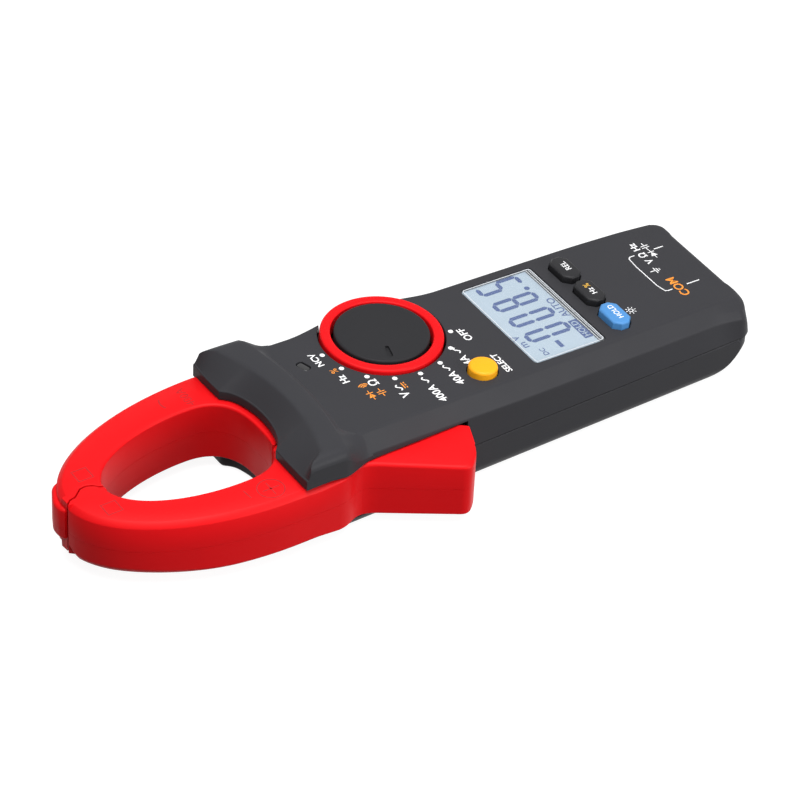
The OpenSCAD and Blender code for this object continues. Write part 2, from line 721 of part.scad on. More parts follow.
module screw_bores(spots, r) for (p = spots) translate([p[0], p[1], -1])
    cylinder(r = r, h = FAR, $fn = 32);

module pivot_tube(z0, z1) translate([pivot_x, pivot_y, z0]) cylinder(r = pin_r + tube_wall, h = z1 - z0);

module pivot_bore() translate([pivot_x, pivot_y, -1]) cylinder(r = pin_r + pin_clear, h = FAR);

module screw_tubes(spots, z0, z1) for (p = spots) translate([p[0], p[1], z0])
    cylinder(r = small_screw_r + 1.1, h = z1 - z0, $fn = 32);

// Slot in the round seam that the spring's fixed leg passes through.
module spring_slot() translate([pivot_x, pivot_y, core_mid_h - 2.6])
    rotate([0, 0, stop_angle - jaw_swing - 11]) rotate_extrude(angle = jaw_swing + 12, $fn = 96)
        translate([seam_r - jaw_wall - 1.5, 0]) square([jaw_wall + 4, 5.2]);

module moving_jaw_front() color(RED) difference() {
    union() {
        difference() {
            moving_jaw_form(parting_h, jaw_top_h, 0);
            moving_jaw_form(parting_h - 1, jaw_top_h - jaw_wall, jaw_wall);
        }
        pivot_tube(parting_h, jaw_top_h - 0.5);
        screw_tubes(moving_screws, parting_h, trigger_top_h - 1);
    }
    pivot_bore();
    spring_slot();
    for (p = moving_screws) translate([p[0], p[1], parting_h - 1])
        cylinder(r = small_screw_r + 0.03, h = 6, $fn = 32);
}

module moving_jaw_rear() color(RED) difference() {
    union() {
        difference() {
            moving_jaw_form(jaw_low_h, parting_h, 0);
            moving_jaw_form(jaw_low_h + jaw_wall, parting_h + 1, jaw_wall);
        }
        pivot_tube(jaw_low_h + 0.5, parting_h);
        screw_tubes(moving_screws, jaw_low_h + 0.5, parting_h);
    }
    pivot_bore();
    spring_slot();
    small_screw_holes(moving_screws);
}

module fixed_jaw_front() color(RED) difference() {
    union() {
        difference() {
            fixed_jaw_form(parting_h, jaw_top_h, 0);
            fixed_jaw_form(parting_h - 1, jaw_top_h - jaw_wall, jaw_wall);
        }
        screw_tubes(fixed_screws, parting_h, jaw_top_h - 1);
        root_tubes(parting_h, jaw_top_h);
    }
    root_screw_holes();
    for (p = fixed_screws) translate([p[0], p[1], parting_h - 1])
        cylinder(r = small_screw_r + 0.03, h = 6, $fn = 32);
}

module fixed_jaw_rear() color(RED) difference() {
    union() {
        difference() {
            fixed_jaw_form(jaw_low_h, parting_h, 0);
            fixed_jaw_form(jaw_low_h + jaw_wall, parting_h + 1, jaw_wall);
        }
        screw_tubes(fixed_screws, jaw_low_h + 0.5, parting_h);
        root_tubes(jaw_low_h, parting_h);
    }
    root_screw_holes();
    small_screw_holes(fixed_screws);
}

module root_tubes(z0, z1) intersection() {
    for (p = root_screws) translate([p[0], p[1], z0]) cylinder(r = screw_r + 1.4, h = z1 - z0, $fn = 32);
    fixed_jaw_form(z0, z1, 0);
}

module root_screw_holes() for (p = root_screws) translate([p[0], p[1], 0])
    cylinder(r = screw_r + 0.25, h = FAR, $fn = 32);

module small_screw_holes(spots) for (p = spots) translate([p[0], p[1], -1]) {
    cylinder(r = small_screw_r + 0.15, h = FAR, $fn = 32);
    cylinder(r = small_screw_r + 0.85, h = jaw_low_h + 2.2, $fn = 32);
}

module jaw_screws() color(STEEL) for (p = moving_screws) translate([p[0], p[1], jaw_low_h + 0.3])
    screw(12, small_screw_r, small_screw_r + 0.7, 0.9);

module fixed_jaw_screws() color(STEEL) for (p = fixed_screws) translate([p[0], p[1], jaw_low_h + 0.3])
    screw(12, small_screw_r, small_screw_r + 0.7, 0.9);

// Ring of iron between the jaws' outer wall and the opening.
module core_band() difference() {
    translate([0, 0, core_mid_h - core_h / 2]) linear_extrude(core_h) polygon(jaw_outline(core_inset));
    opening_cut(jaw_half_w - open_half_w - core_inset - core_w);
}

module fixed_core() color(IRON) difference() {
    union() {
        difference() {
            core_band();
            translate([-FAR, -FAR, -1]) cube([2 * FAR, FAR + coil_mid_y, FAR]);
            translate([-FAR, 0, -1]) cube([FAR + leg_x, open_mid_y, FAR]);
        }
        translate([root_core_x0, coil_mid_y - core_w / 2, core_mid_h - core_h / 2])
            cube([root_core_x1 - root_core_x0, core_w, core_h]);
    }
    left_side(jaw_gap / 2 + jaw_wall + 0.2);
    translate([jaw_root_half_w - jaw_wall - 0.2, 0, -1])
        cube([FAR, wall_end_y + 0.6 + jaw_wall, FAR]);
    screw_bores(fixed_screws, small_screw_r + 1.2);
}

module moving_core() color(IRON) difference() {
    intersection() {
        core_band();
        moving_zone(jaw_wall + 0.2);
    }
    translate([-FAR, -FAR, -1]) cube([2 * FAR, FAR + pivot_y + 8.5, FAR]);
    screw_bores(moving_screws, small_screw_r + 1.2);
}

module coil_bobbin() color(BLACK) {
    h = core_h + 1.6;
    w = core_w + 1.6;
    difference() {
        union() {
            translate([2, coil_mid_y - w / 2, core_mid_h - h / 2]) cube([15, w, h]);
            for (x = [2, 16.2]) translate([x, coil_mid_y - w / 2 - coil_t, core_mid_h - h / 2 - coil_t])
                cube([0.8, w + 2 * coil_t, h + 2 * coil_t]);
        }
        translate([0, coil_mid_y - core_w / 2 - SEAT, core_mid_h - core_h / 2 - SEAT])
            cube([20, core_w + 2 * SEAT, core_h + 2 * SEAT]);
    }
}

module pickup_coil() color(COPPER) {
    h = core_h + 1.6 + 2 * SEAT;
    w = core_w + 1.6 + 2 * SEAT;
    t = coil_t - SEAT - 0.1;
    difference() {
        translate([2.85, coil_mid_y - w / 2 - t, core_mid_h - h / 2 - t]) cube([13.3, w + 2 * t, h + 2 * t]);
        translate([0, coil_mid_y - w / 2, core_mid_h - h / 2]) cube([20, w, h]);
    }
}

module jaw_pivot_pin() color(STEEL) translate([pivot_x, pivot_y, 2.05]) cylinder(r = pin_r, h = roof_h - 0.2);

// Torsion spring round the pivot tube, with one leg on a post of the rear
// shell and one in the moving jaw.
module spring_leg(a, len, z) translate([pivot_x, pivot_y, z]) rotate([0, 0, a])
    translate([spring_r - 0.2, 0, 0]) rotate([0, 90, 0]) cylinder(r = spring_wire, h = len, $fn = 16);

module jaw_spring() color(STEEL) union() {
    for (i = [-2 : 2]) translate([pivot_x, pivot_y, core_mid_h + i * spring_wire * 2])
        rotate_extrude($fn = 64) translate([spring_r, 0]) circle(r = spring_wire + 0.02, $fn = 16);
    spring_leg(stop_angle - 7, 12, core_mid_h - 2 * spring_wire);
    spring_leg(160, 3.2, core_mid_h + 2 * spring_wire);
}

// ---------------------------------------------------------------- selector

// Places its children on the selector's axis, at the face.
module on_dial() on_face() translate([dial_x, 0, 0]) children();

module tube(r_out, r_in, z0, z1) difference() {
    translate([0, 0, z0]) cylinder(r = r_out, h = z1 - z0, $fn = 96);
    translate([0, 0, z0 - 1]) cylinder(r = r_in, h = z1 - z0 + 2, $fn = 96);
}

module dial_ring() color(RED) on_dial() {
    tube(ring_r, ring_r - ring_w, -well_depth + RUN, ring_up);
    tube(ring_r - ring_w + 0.5, hub_r - 2 + SEAT, -well_depth + RUN, -3);
}

module dial_disc() color(GREY) on_dial() difference() {
    translate([0, 0, -3 + SEAT]) cylinder(r = disc_r, h = 3 + disc_up - SEAT, $fn = 96);
    rotate([0, 0, 157.5]) translate([disc_r - 5.6, 0, disc_up - 0.4]) {
        translate([0, -0.7, 0]) cube([3.2, 1.4, 2]);
        cylinder(r = 0.7, h = 2, $fn = 32);
    }
}

module dial_rotor() color(BLACK) on_dial() difference() {
    union() {
        tube(hub_r, 2, -well_floor - 0.4, -well_depth + RUN - SEAT);
        tube(hub_r - 2, 2, -well_depth + RUN - 1, -3);
        tube(rotor_r, 2, -board_depth + 0.75, -well_floor - RUN);
    }
    for (i = [0 : 15]) rotate([0, 0, i * dial_step]) translate([rotor_r + 0.2, 0, -board_depth])
        cylinder(r = 0.9, h = 4, $fn = 24);
}

module wiper_contacts() color(BRASS) on_dial() for (a = [0, 120, 240]) rotate([0, 0, a]) {
    translate([4, -1.2, -board_depth + 0.4]) cube([7, 2.4, 0.3]);
    for (x = [5, 9.4]) translate([x, -1, -board_depth + SEAT]) cube([1, 2, 0.4]);
}

// Leaf spring with a round nose that drops into the rotor's notches.
module detent_spring() color(STEEL) on_dial() rotate([0, 0, -90]) {
    translate([rotor_r + 0.75, -7, -board_depth + SEAT]) cube([0.5, 14, 2]);
    translate([rotor_r + 0.55, 0, -board_depth + SEAT]) cylinder(r = 0.5, h = 2, $fn = 24);
    for (s = [-1, 1]) translate([rotor_r + 1.25, s * 6 - 1, -board_depth + SEAT]) cube([1.6, 2, 2]);
}

// ---------------------------------------------------------------- buttons

// Long button seen from above, with cut corners.
module key_outline(grow) {
    a = key_len / 2 + grow;
    b = key_w / 2 + grow;
    c = 1.9;
    polygon([[a, -b + c], [a, b - c], [a - c, b], [-a + c, b],
             [-a, b - c], [-a, -b + c], [-a + c, -b], [a - c, -b]]);
}

module key_body(i) color(i == 2 ? "#4f93dd" : BLACK) at_face(keys[i]) {
    below(-key_up, wall + 0.1) key_outline(0);
    below(wall + 0.1, wall + 0.9) key_outline(key_flange);
    below(wall + 0.9, switch_top - 0.9) circle(r = stem_r, $fn = 32);
}

module button_rel() key_body(0);
module button_hz() key_body(1);
module button_hold() key_body(2);

module button_select() color("#f9be2e") at_face(round_key) {
    below(-key_up, wall + 0.1) circle(d = round_d);
    below(wall + 0.1, wall + 0.9) circle(d = round_d + 2 * key_flange);
    below(wall + 0.9, switch_top - 0.9) circle(r = stem_r, $fn = 32);
}

module plunger(p) color(BLACK) at_face(p) below(switch_top - 0.9 + SEAT, switch_top + 0.3)
    circle(r = plunger_r, $fn = 32);

module plunger_select() plunger(round_key);
module plunger_rel() plunger(keys[0]);
module plunger_hz() plunger(keys[1]);
module plunger_hold() plunger(keys[2]);

module switch_bases() color(STEEL) for (p = concat(keys, [round_key])) at_face(p) difference() {
    below(switch_top, board_depth) square(switch_w, center = true);
    below(switch_top - 1, switch_top + 0.3 + key_travel + 0.2) circle(r = plunger_r + 0.1, $fn = 32);
}

// ---------------------------------------------------------------- display

module lens_window() color("#cfd9de") at_face([0, -lens_y])
    below(0.1, lens_t) square([lens_w, lens_l], center = true);

module lcd_glass() color("#c8d8df") at_face([0, -lens_y])
    below(glass_top, glass_top + glass_t) square([lens_w + 0.6, lens_l + 0.6], center = true);

module backlight_panel() color("#f4f7fa") at_face([0, -lens_y])
    below(light_top, light_top + light_t) square([lens_w - 2, lens_l - 6], center = true);

module lcd_frame() color("#e4e4e0") at_face([0, -lens_y]) difference() {
    below(frame_top, board_depth - SEAT) square([frame_w, frame_l], center = true);
    below(0, light_top) square([lens_w + 0.7, lens_l + 0.7], center = true);
    below(0, light_top + light_t + SEAT) square([lens_w - 1.9, lens_l - 5.9], center = true);
    for (s = [-1, 1]) translate([0, s * (lens_l / 2 - 1.2), 0])
        below(0, FAR / 4) square([lens_w - 1.8, 2.2], center = true);
}

module elastomer_strips() color("#8d8f94") at_face([0, -lens_y]) for (s = [-1, 1])
    translate([0, s * (lens_l / 2 - 1.2), 0]) below(light_top, board_depth - SEAT)
        square([lens_w - 2, 2], center = true);

// ---------------------------------------------------------------- board

module main_board() color(GREEN) on_face() difference() {
    below(board_depth, board_depth + board_t) difference() {
        translate([-board_half_w, board_tail_y]) square([2 * board_half_w, board_head_y - board_tail_y]);
        translate([-board_half_w - 1, -6]) square([board_half_w + 1 - 6.4, 60]);
        for (p = case_posts) translate(p) circle(r = case_post_r + 0.6);
        for (p = board_posts) translate(p) circle(r = small_screw_r + 0.1, $fn = 32);
        translate([dial_x, 0]) circle(r = 1.5, $fn = 32);
    }
}

module board_screws() color(STEEL) for (p = board_posts) at_face(p)
    translate([0, 0, -board_depth - board_t - SEAT - 0.9])
        screw(5, small_screw_r, small_screw_r + 0.9, 0.9);

module meter_chip() color(BLACK) at_face(chip_at) {
    below(under_board + 0.2, under_board + 1.6) square(chip_w, center = true);
    below(under_board, under_board + 0.3) square([chip_w + 2, chip_w - 2], center = true);
}

module crystal_can() color(STEEL) at_face(crystal_at) below(under_board, under_board + 2.4) {
    for (s = [-1, 1]) translate([s * (crystal_w / 2 - 2), 0]) circle(r = 2, $fn = 32);
    square([crystal_w - 4, 4], center = true);
}

module buzzer() color(BLACK) at_face([-1, -14]) difference() {
    below(under_board, under_board + 3.4) circle(r = 5.5);
    below(under_board + 2.6, under_board + 4) circle(r = 1, $fn = 32);
}

module sense_plate() color(COPPER) translate([plate_at[0], plate_at[1], roof_h + 1.9])
    cube([plate_w, plate_l, 0.45]);

module lamp_window() color(BLACK) on_face() lamp_place()
    below(0.15, board_depth - 2.2) square([lamp_w, lamp_l], center = true);

module sense_lamp() color("#e9e2d0") on_face() lamp_place()
    below(board_depth - 2.1, board_depth - SEAT) square([3.2, 2], center = true);

// ---------------------------------------------------------------- sockets

module along_tail(y) translate([0, y, jack_h]) rotate([90, 0, 0]) children();

// Insulating block with two sleeves that pass through the tail wall.
module jack_block() color(BLACK) difference() {
    union() {
        translate([-jack_x - jack_body_r, -tail_len + wall + 1.2, jack_h - jack_body_r])
            cube([2 * (jack_x + jack_body_r), jack_back_y + tail_len - wall - 1.2, 2 * jack_body_r]);
        for (s = [-1, 1]) translate([s * jack_x, jack_back_y, jack_h])
            rotate([90, 0, 0]) cylinder(r = jack_body_r, h = jack_back_y + tail_len - 0.3);
    }
    for (s = [-1, 1]) translate([s * jack_x, 0, 0]) {
        along_tail(jack_back_y - 4) cylinder(r = jack_sleeve_r, h = FAR);
        along_tail(jack_back_y + 1) cylinder(r = jack_brass_r + SEAT, h = FAR);
    }
}

module jack_tube(x) color(BRASS) translate([x, 0, 0]) difference() {
    along_tail(jack_end_y) cylinder(r = jack_brass_r, h = jack_bore_len);
    along_tail(jack_end_y + 1) cylinder(r = jack_bore_r, h = FAR);
}

module com_jack() jack_tube(-jack_x);
module volt_jack() jack_tube(jack_x);

// Solder tabs from the sockets up to the board.
module jack_tabs() color(BRASS) for (s = [-1, 1])
    translate([s * jack_x - 1, jack_end_y + SEAT, board_under_h - 2 * SEAT - tab_t])
        cube([2, board_tail_y - jack_end_y + 2, tab_t]);

// ---------------------------------------------------------------- batteries

function cell_x(i) = (i - (cell_count - 1) / 2) * cell_pitch;

module batteries() color("#2f6fae") for (i = [0 : cell_count - 1])
    translate([cell_x(i), cell_mid_y, cell_h]) rotate([i % 2 == 0 ? 90 : -90, 0, 0]) {
        cylinder(d = cell_d, h = cell_len - 1, center = true);
        cylinder(d = 3.6, h = cell_len, center = true, $fn = 32);
    }

module battery_springs() color(STEEL) for (i = [0 : cell_count - 1])
    translate([cell_x(i), bay_tail_y + SEAT, cell_h]) rotate([-90, 0, 0]) union() {
        translate([-4, -4, 0]) cube([8, 8, 0.4]);
        for (k = [0 : 2]) translate([0, 0, 0.7 + k * 0.55])
            rotate_extrude($fn = 48) translate([3 - k * 0.5, 0]) circle(r = 0.32, $fn = 12);
    }

module battery_plates() color(STEEL) for (i = [0 : cell_count - 1])
    translate([cell_x(i) - 4, bay_head_y - 0.5, cell_h - 4]) cube([8, 0.45, 8]);

front_case();
rear_case();
case_screws();
battery_cover();
battery_screw();
fixed_jaw_front();
fixed_jaw_rear();
fixed_core();
coil_bobbin();
pickup_coil();
moving_jaw_front();
moving_jaw_rear();
moving_core();
jaw_screws();
fixed_jaw_screws();
jaw_pivot_pin();
jaw_spring();
dial_ring();
dial_disc();
dial_rotor();
wiper_contacts();
detent_spring();
button_select();
button_rel();
button_hz();
button_hold();
plunger_select();
plunger_rel();
plunger_hz();
plunger_hold();
switch_bases();
lens_window();
lcd_glass();
lcd_frame();
backlight_panel();
elastomer_strips();
main_board();
board_screws();
meter_chip();
crystal_can();
buzzer();
sense_plate();
sense_lamp();
lamp_window();
jack_block();
com_jack();
volt_jack();
jack_tabs();
batteries();
battery_springs();
battery_plates();
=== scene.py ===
"""Clamp meter: the visual model, built round the fixed frame of its mechanical parts.

Lengths are millimetres until a mesh is made, which is in metres.
"""

import json
import logging
import math
from dataclasses import dataclass
from enum import Enum
from typing import Callable, Iterable, Sequence

import bmesh
import bpy
import numpy as np
from mathutils import Matrix, Vector
from mathutils.geometry import delaunay_2d_cdt


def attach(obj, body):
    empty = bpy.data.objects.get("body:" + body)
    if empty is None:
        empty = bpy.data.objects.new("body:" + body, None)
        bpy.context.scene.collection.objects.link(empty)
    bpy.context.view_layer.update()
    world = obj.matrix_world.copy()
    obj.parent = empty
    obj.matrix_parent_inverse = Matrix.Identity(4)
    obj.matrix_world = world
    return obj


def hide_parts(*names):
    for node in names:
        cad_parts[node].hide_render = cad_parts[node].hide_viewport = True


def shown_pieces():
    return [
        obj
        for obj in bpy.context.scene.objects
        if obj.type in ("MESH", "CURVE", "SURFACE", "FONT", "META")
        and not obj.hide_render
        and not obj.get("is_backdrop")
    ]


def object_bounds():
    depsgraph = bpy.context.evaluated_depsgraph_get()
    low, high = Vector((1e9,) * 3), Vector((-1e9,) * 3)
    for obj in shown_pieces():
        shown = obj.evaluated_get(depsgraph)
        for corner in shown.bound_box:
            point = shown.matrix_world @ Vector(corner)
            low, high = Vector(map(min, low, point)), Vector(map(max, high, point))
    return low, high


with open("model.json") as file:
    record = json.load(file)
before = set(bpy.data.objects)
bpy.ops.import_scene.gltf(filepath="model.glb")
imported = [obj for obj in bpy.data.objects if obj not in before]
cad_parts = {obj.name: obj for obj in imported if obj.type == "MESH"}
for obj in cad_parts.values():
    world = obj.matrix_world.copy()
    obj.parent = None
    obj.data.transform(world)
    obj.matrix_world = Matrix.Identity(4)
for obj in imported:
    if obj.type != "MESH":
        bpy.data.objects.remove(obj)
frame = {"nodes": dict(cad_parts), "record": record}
CAD_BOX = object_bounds()

LOG = logging.getLogger("clamp_meter")
MM = 0.001
PRINT_H = 0.035  # thickness of print and of display segments

# The face: its tilt, its height at the origin and where its controls sit, in its own frame.
TILT = math.radians(2.3)
FACE_H = 28.9
DIAL_AT = (11.8, 0.0)
DISPLAY_AT = (0.0, -43.5)
SELECT_AT = (-14.9, -16.1)
KEY_Y, KEY_STEP = -63.2, 12.3
LAMP_AT, LAMP_TURN = (10.1, 27.0), 0.314
DIAL_FOOT = -3.9
KEY_FOOT, KEY_TOP = -2.9, 2.1

# Half the gap at the parting line between front and rear pieces.
PARTING_GAP = 0.03

Place = Callable[[np.ndarray], np.ndarray]
Level = float | Callable[[np.ndarray], np.ndarray]
Amount = float | np.ndarray


class Body(str, Enum):
    """The moving bodies of the frame."""

    METER = "meter"
    JAW = "jaw"
    SELECTOR = "selector"
    SELECT = "key_select"
    REL = "key_rel"
    HZ = "key_hz"
    HOLD = "key_hold"
    COVER = "cover"


# ---------------------------------------------------------------- geometry


def smooth(t: np.ndarray | float) -> np.ndarray:
    """Eases from 0 to 1: t clipped to 0..1, then t * t * (3 - 2 * t)."""
    t = np.clip(t, 0.0, 1.0)
    return t * t * (3 - 2 * t)


def on_face(points: np.ndarray) -> np.ndarray:
    """Moves points from the face's own frame to the meter's: turned by the tilt about X, then lifted.

    Args:
        points: points in the face's own frame.

    Returns:
        The points in the meter's frame.
    """
    x, y, h = points.T
    c, s = math.cos(TILT), math.sin(TILT)
    return np.stack([x, y * c - h * s, FACE_H + y * s + h * c], axis=1)


def as_is(points: np.ndarray) -> np.ndarray:
    """Leaves points where they are."""
    return points


def shifted(place: Place, dx: float, dy: float, dz: float = 0.0) -> Place:
    """Returns a placing that moves points by a step before another placing.

    Args:
        place: the placing that comes after the step.
        dx, dy, dz: the step.

    Returns:
        The joint placing.
    """
    return lambda points: place(points + np.array([dx, dy, dz]))


def arc(cx: float, cy: float, r: float, start: float, end: float, n: int) -> np.ndarray:
    """Points on a circle: centre plus r times the cosine and sine of n even angles in degrees."""
    a = np.radians(np.linspace(start, end, n))
    return np.stack([cx + r * np.cos(a), cy + r * np.sin(a)], axis=1)


def circle(x: float, y: float, r: float, n: int) -> np.ndarray:
    """A closed circle of n points, without the repeated last one."""
    return arc(x, y, r, 0, 360, n + 1)[:-1]


def turned(loop: np.ndarray, angle: float) -> np.ndarray:
    """A loop turned about the origin: its rows times the turn's matrix."""
    c, s = math.cos(angle), math.sin(angle)
    return loop @ np.array([[c, s], [-s, c]])


def super_arc(a: float, b: float, power: float, start: float, end: float, n: int) -> np.ndarray:
    """Points on a superellipse.

    Each point is a times the cosine and b times the sine of its angle, each
    raised to 2 / power with its sign kept.

    Args:
        a, b: half axes.
        power: 2 is an ellipse, more is squarer.
        start, end: angles in degrees.
        n: how many points.

    Returns:
        The points about the origin.
    """
    t = np.radians(np.linspace(start, end, n))
    c, s = np.cos(t), np.sin(t)
    x, y = (h * np.sign(v) * np.abs(v) ** (2 / power) for h, v in ((a, c), (b, s)))
    return np.stack([x, y], axis=1)


def box_loop(w: float, d: float, r: float = 0.0, n: int = 5, cut: bool = False) -> np.ndarray:
    """A rectangle about the origin, counter-clockwise, with round or cut corners.

    Args:
        w, d: full width and depth.
        r: corner size, 0 for square corners.
        n: points per round corner.
        cut: straight cuts instead of arcs.

    Returns:
        The loop's points.
    """
    x, y = w / 2, d / 2
    if r <= 0:
        return np.array([[x, -y], [x, y], [-x, y], [-x, -y]], float)
    if cut:
        return np.array([[x, -y + r], [x, y - r], [x - r, y], [r - x, y], [-x, y - r], [-x, r - y],
                         [r - x, -y], [x - r, -y]], float)
    corners = [(x - r, y - r, 0), (r - x, y - r, 90), (r - x, r - y, 180), (x - r, r - y, 270)]
    return np.concatenate([arc(cx, cy, r, a, a + 90, n) for cx, cy, a in corners])


def rounded(corners: Sequence[Sequence[float]], n: int = 5) -> np.ndarray:
    """Rounds the corners of a closed loop.

    Each corner becomes a quadratic curve between the points that lie its
    radius away along both of its sides, at most 0.49 of a side.

    Args:
        corners: rows of x, y and the corner's radius.
        n: points per corner.

    Returns:
        The loop's points.
    """
    c = np.array(corners, float)
    p, r = c[:, :2], c[:, 2]
    out = []
    t = np.linspace(0, 1, n)[:, None]
    for i in range(len(p)):
        before, after = p[i - 1] - p[i], p[(i + 1) % len(p)] - p[i]
        if r[i] <= 0:
            out.append(p[i:i + 1])
            continue
        la, lb = np.linalg.norm(before), np.linalg.norm(after)
        a = p[i] + before / la * min(r[i], 0.49 * la)
        b = p[i] + after / lb * min(r[i], 0.49 * lb)
        out.append((1 - t) ** 2 * a + 2 * t * (1 - t) * p[i] + t ** 2 * b)
    return np.concatenate(out)


def inset(loop: np.ndarray, amount: np.ndarray | float) -> np.ndarray:
    """Moves the corners of a closed loop to its left.

    Each corner moves along its mitre, the sum of the two sides' left normals
    scaled so that both sides move by the amount, at most twice the amount.

    Args:
        loop: points, (n, 2).
        amount: how far, one value or one per point.

    Returns:
        The moved points.
    """
    step = np.roll(loop, -1, axis=0) - loop
    step /= np.maximum(np.linalg.norm(step, axis=1), 1e-9)[:, None]
    left = np.stack([-step[:, 1], step[:, 0]], axis=1)
    mitre = left + np.roll(left, 1, axis=0)
    mitre /= np.maximum((mitre * left).sum(axis=1), 0.5)[:, None]
    return loop + mitre * np.broadcast_to(amount, len(loop))[:, None]


def level_at(level: Level, points: np.ndarray) -> np.ndarray:
    """The heights of a level, a number or a function of x and y, at some points."""
    return level(points) if callable(level) else np.full(len(points), float(level))


@dataclass(frozen=True)
class Edge:
    """The rounding of a prism's rim: size (one or one per point), squareness and steps."""

    r: float | np.ndarray = 0.0
    p: float | np.ndarray = 2.0
    steps: int = 4

    def rows(self) -> list[tuple[np.ndarray, np.ndarray]]:
        """The rim's rows.

        Each row is r (1 - cos^(2/p)) inwards and r (1 - sin^(2/p)) short of
        the top, for even angles from the wall to the top.

        Returns:
            Pairs of inset and drop, from the wall to the top.
        """
        if np.all(np.asarray(self.r) <= 0):
            return [(np.zeros(1), np.zeros(1))]
        r, p = np.asarray(self.r, float), np.asarray(self.p, float)
        angles = np.linspace(0, math.pi / 2, self.steps + 1)
        return [(r * (1 - np.cos(a) ** (2 / p)), r * (1 - np.sin(a) ** (2 / p))) for a in angles]


class Shape:
    """Collects points and faces in millimetres and makes one finished piece of them."""

    MERGE = 0.002  # points nearer than this become one

    def __init__(self, name: str, place: Place = as_is) -> None:
        """Starts an empty shape with its piece's name and the placing of its points.

        Args:
            name: the piece's name.
            place: where each point goes.
        """
        self.name = name
        self.place = place
        self.points: list[np.ndarray] = []
        self.faces: list[list[int]] = []
        self.count = 0

    def add(self, points: np.ndarray, faces: Iterable[Sequence[int]]) -> None:
        """Adds placed points and the faces between them.

        Args:
            points: the points, before they are placed.
            faces: each face's corners, counted from the first of these points.
        """
        self.points.append(self.place(np.asarray(points, float)))
        self.faces.extend([[i + self.count for i in f] for f in faces])
        self.count += len(points)

    def grid(self, rows: np.ndarray, wrap: bool = True) -> None:
        """Joins rows of points with quads.

        Args:
            rows: points, (rows, columns, 3).
            wrap: joins the last column to the first.
        """
        n, m = rows.shape[:2]
        index = np.arange(n * m).reshape(n, m)
        if wrap:
            index = np.concatenate([index, index[:, :1]], axis=1)
        quads = np.stack([index[:-1, :-1], index[:-1, 1:], index[1:, 1:], index[1:, :-1]], axis=-1)
        self.add(rows.reshape(-1, 3), quads.reshape(-1, 4).tolist())

    def cap(self, ring: np.ndarray) -> None:
        """Closes a ring of points with one face."""
        self.add(ring, [list(range(len(ring)))])

    def fill(self, loops: Sequence[np.ndarray]) -> None:
        """Fills the area between an outer loop and its holes with triangles.

        A triangle is kept where its centre lies inside an odd number of loops.

        Args:
            loops: points, (n, 3) each; x and y decide the area.
        """
        flat = np.concatenate(loops)
        edges, start = [], 0
        for loop in loops:
            k = np.arange(len(loop))
            edges += np.stack([start + k, start + np.roll(k, -1)], axis=1).tolist()
            start += len(loop)
        verts, _, tris, origin, _, _ = delaunay_2d_cdt([Vector(p[:2]) for p in flat], edges, [], 0, 1e-7)
        corners = np.array([v[:] for v in verts])
        tris = np.array([t[:] for t in tris])
        centre = corners[tris].mean(axis=1)
        inside = np.zeros(len(tris), bool)
        for loop in loops:
            a, b = loop[:, :2], np.roll(loop[:, :2], -1, axis=0)
            above = (a[None, :, 1] > centre[:, None, 1]) != (b[None, :, 1] > centre[:, None, 1])
            rise = np.where(b[:, 1] == a[:, 1], 1e-12, b[:, 1] - a[:, 1])
            cross = a[:, 0] + (centre[:, None, 1] - a[:, 1]) * (b[:, 0] - a[:, 0]) / rise
            inside ^= (above & (centre[:, None, 0] < cross)).sum(axis=1) % 2 == 1
        near = ((corners[:, None] - flat[None, :, :2]) ** 2).sum(axis=2).argmin(axis=1)
        heights = np.array([flat[o[0] if o else k, 2] for o, k in zip(origin, near)])
        self.add(np.column_stack([corners, heights]), tris[inside].tolist())

    def prism(self, loops: Sequence[np.ndarray], low: Level, high: Level,
              low_edge: Edge = Edge(), high_edge: Edge = Edge()) -> None:
        """Adds a solid between two levels.

        Args:
            loops: the counter-clockwise outer loop, then clockwise holes.
            low, high: the levels, numbers or functions of the points.
            low_edge, high_edge: the rims' roundings.
        """
        bottoms, tops = [], []
        for number, loop in enumerate(loops):
            rows = []
            for edge, level, sign in ((low_edge, low, 1), (high_edge, high, -1)):
                steps = edge.rows() if number == 0 else Edge(float(np.min(edge.r)), 2.0, edge.steps).rows()
                part = []
                for inwards, drop in steps:
                    xy = inset(loop, inwards if inwards.shape == (len(loop),) else float(inwards.flat[0]))
                    part.append(np.column_stack([xy, level_at(level, xy) + sign * drop]))
                rows += part[::-1] if sign > 0 else part
            self.grid(np.stack(rows))
            bottoms.append(rows[0])
            tops.append(rows[-1])
        self.fill(bottoms)
        self.fill(tops)

    def lathe(self, profile: np.ndarray, n: int = 96, centre: tuple[float, float] = (0.0, 0.0)) -> None:
        """Turns a profile of radius and height about an axis parallel to Z.

        Args:
            profile: rows of radius and height; a closed loop or open ends on the axis.
            n: steps round.
            centre: the axis's x and y.
        """
        a = np.linspace(0, 2 * math.pi, n, endpoint=False)
        r, z = profile[:, 0][:, None], profile[:, 1][:, None]
        rows = np.stack([centre[0] + r * np.cos(a), centre[1] + r * np.sin(a), z + 0 * a], axis=-1)
        self.grid(rows)

    def mesh(self) -> bpy.types.Mesh:
        """Makes the mesh in metres, with doubled points merged and faces outwards.

        Returns:
            The mesh.
        """
        mesh = bpy.data.meshes.new(self.name)
        mesh.from_pydata((np.concatenate(self.points) * MM).tolist(), [], self.faces)
        bm = bmesh.new()
        bm.from_mesh(mesh)
        bmesh.ops.remove_doubles(bm, verts=bm.verts, dist=self.MERGE * MM)
        bmesh.ops.dissolve_degenerate(bm, edges=bm.edges, dist=1e-7)
        bmesh.ops.recalc_face_normals(bm, faces=bm.faces)
        if bm.calc_volume(signed=True) < 0:
            bmesh.ops.reverse_faces(bm, faces=bm.faces)
        bm.to_mesh(mesh)
        bm.free()
        return mesh

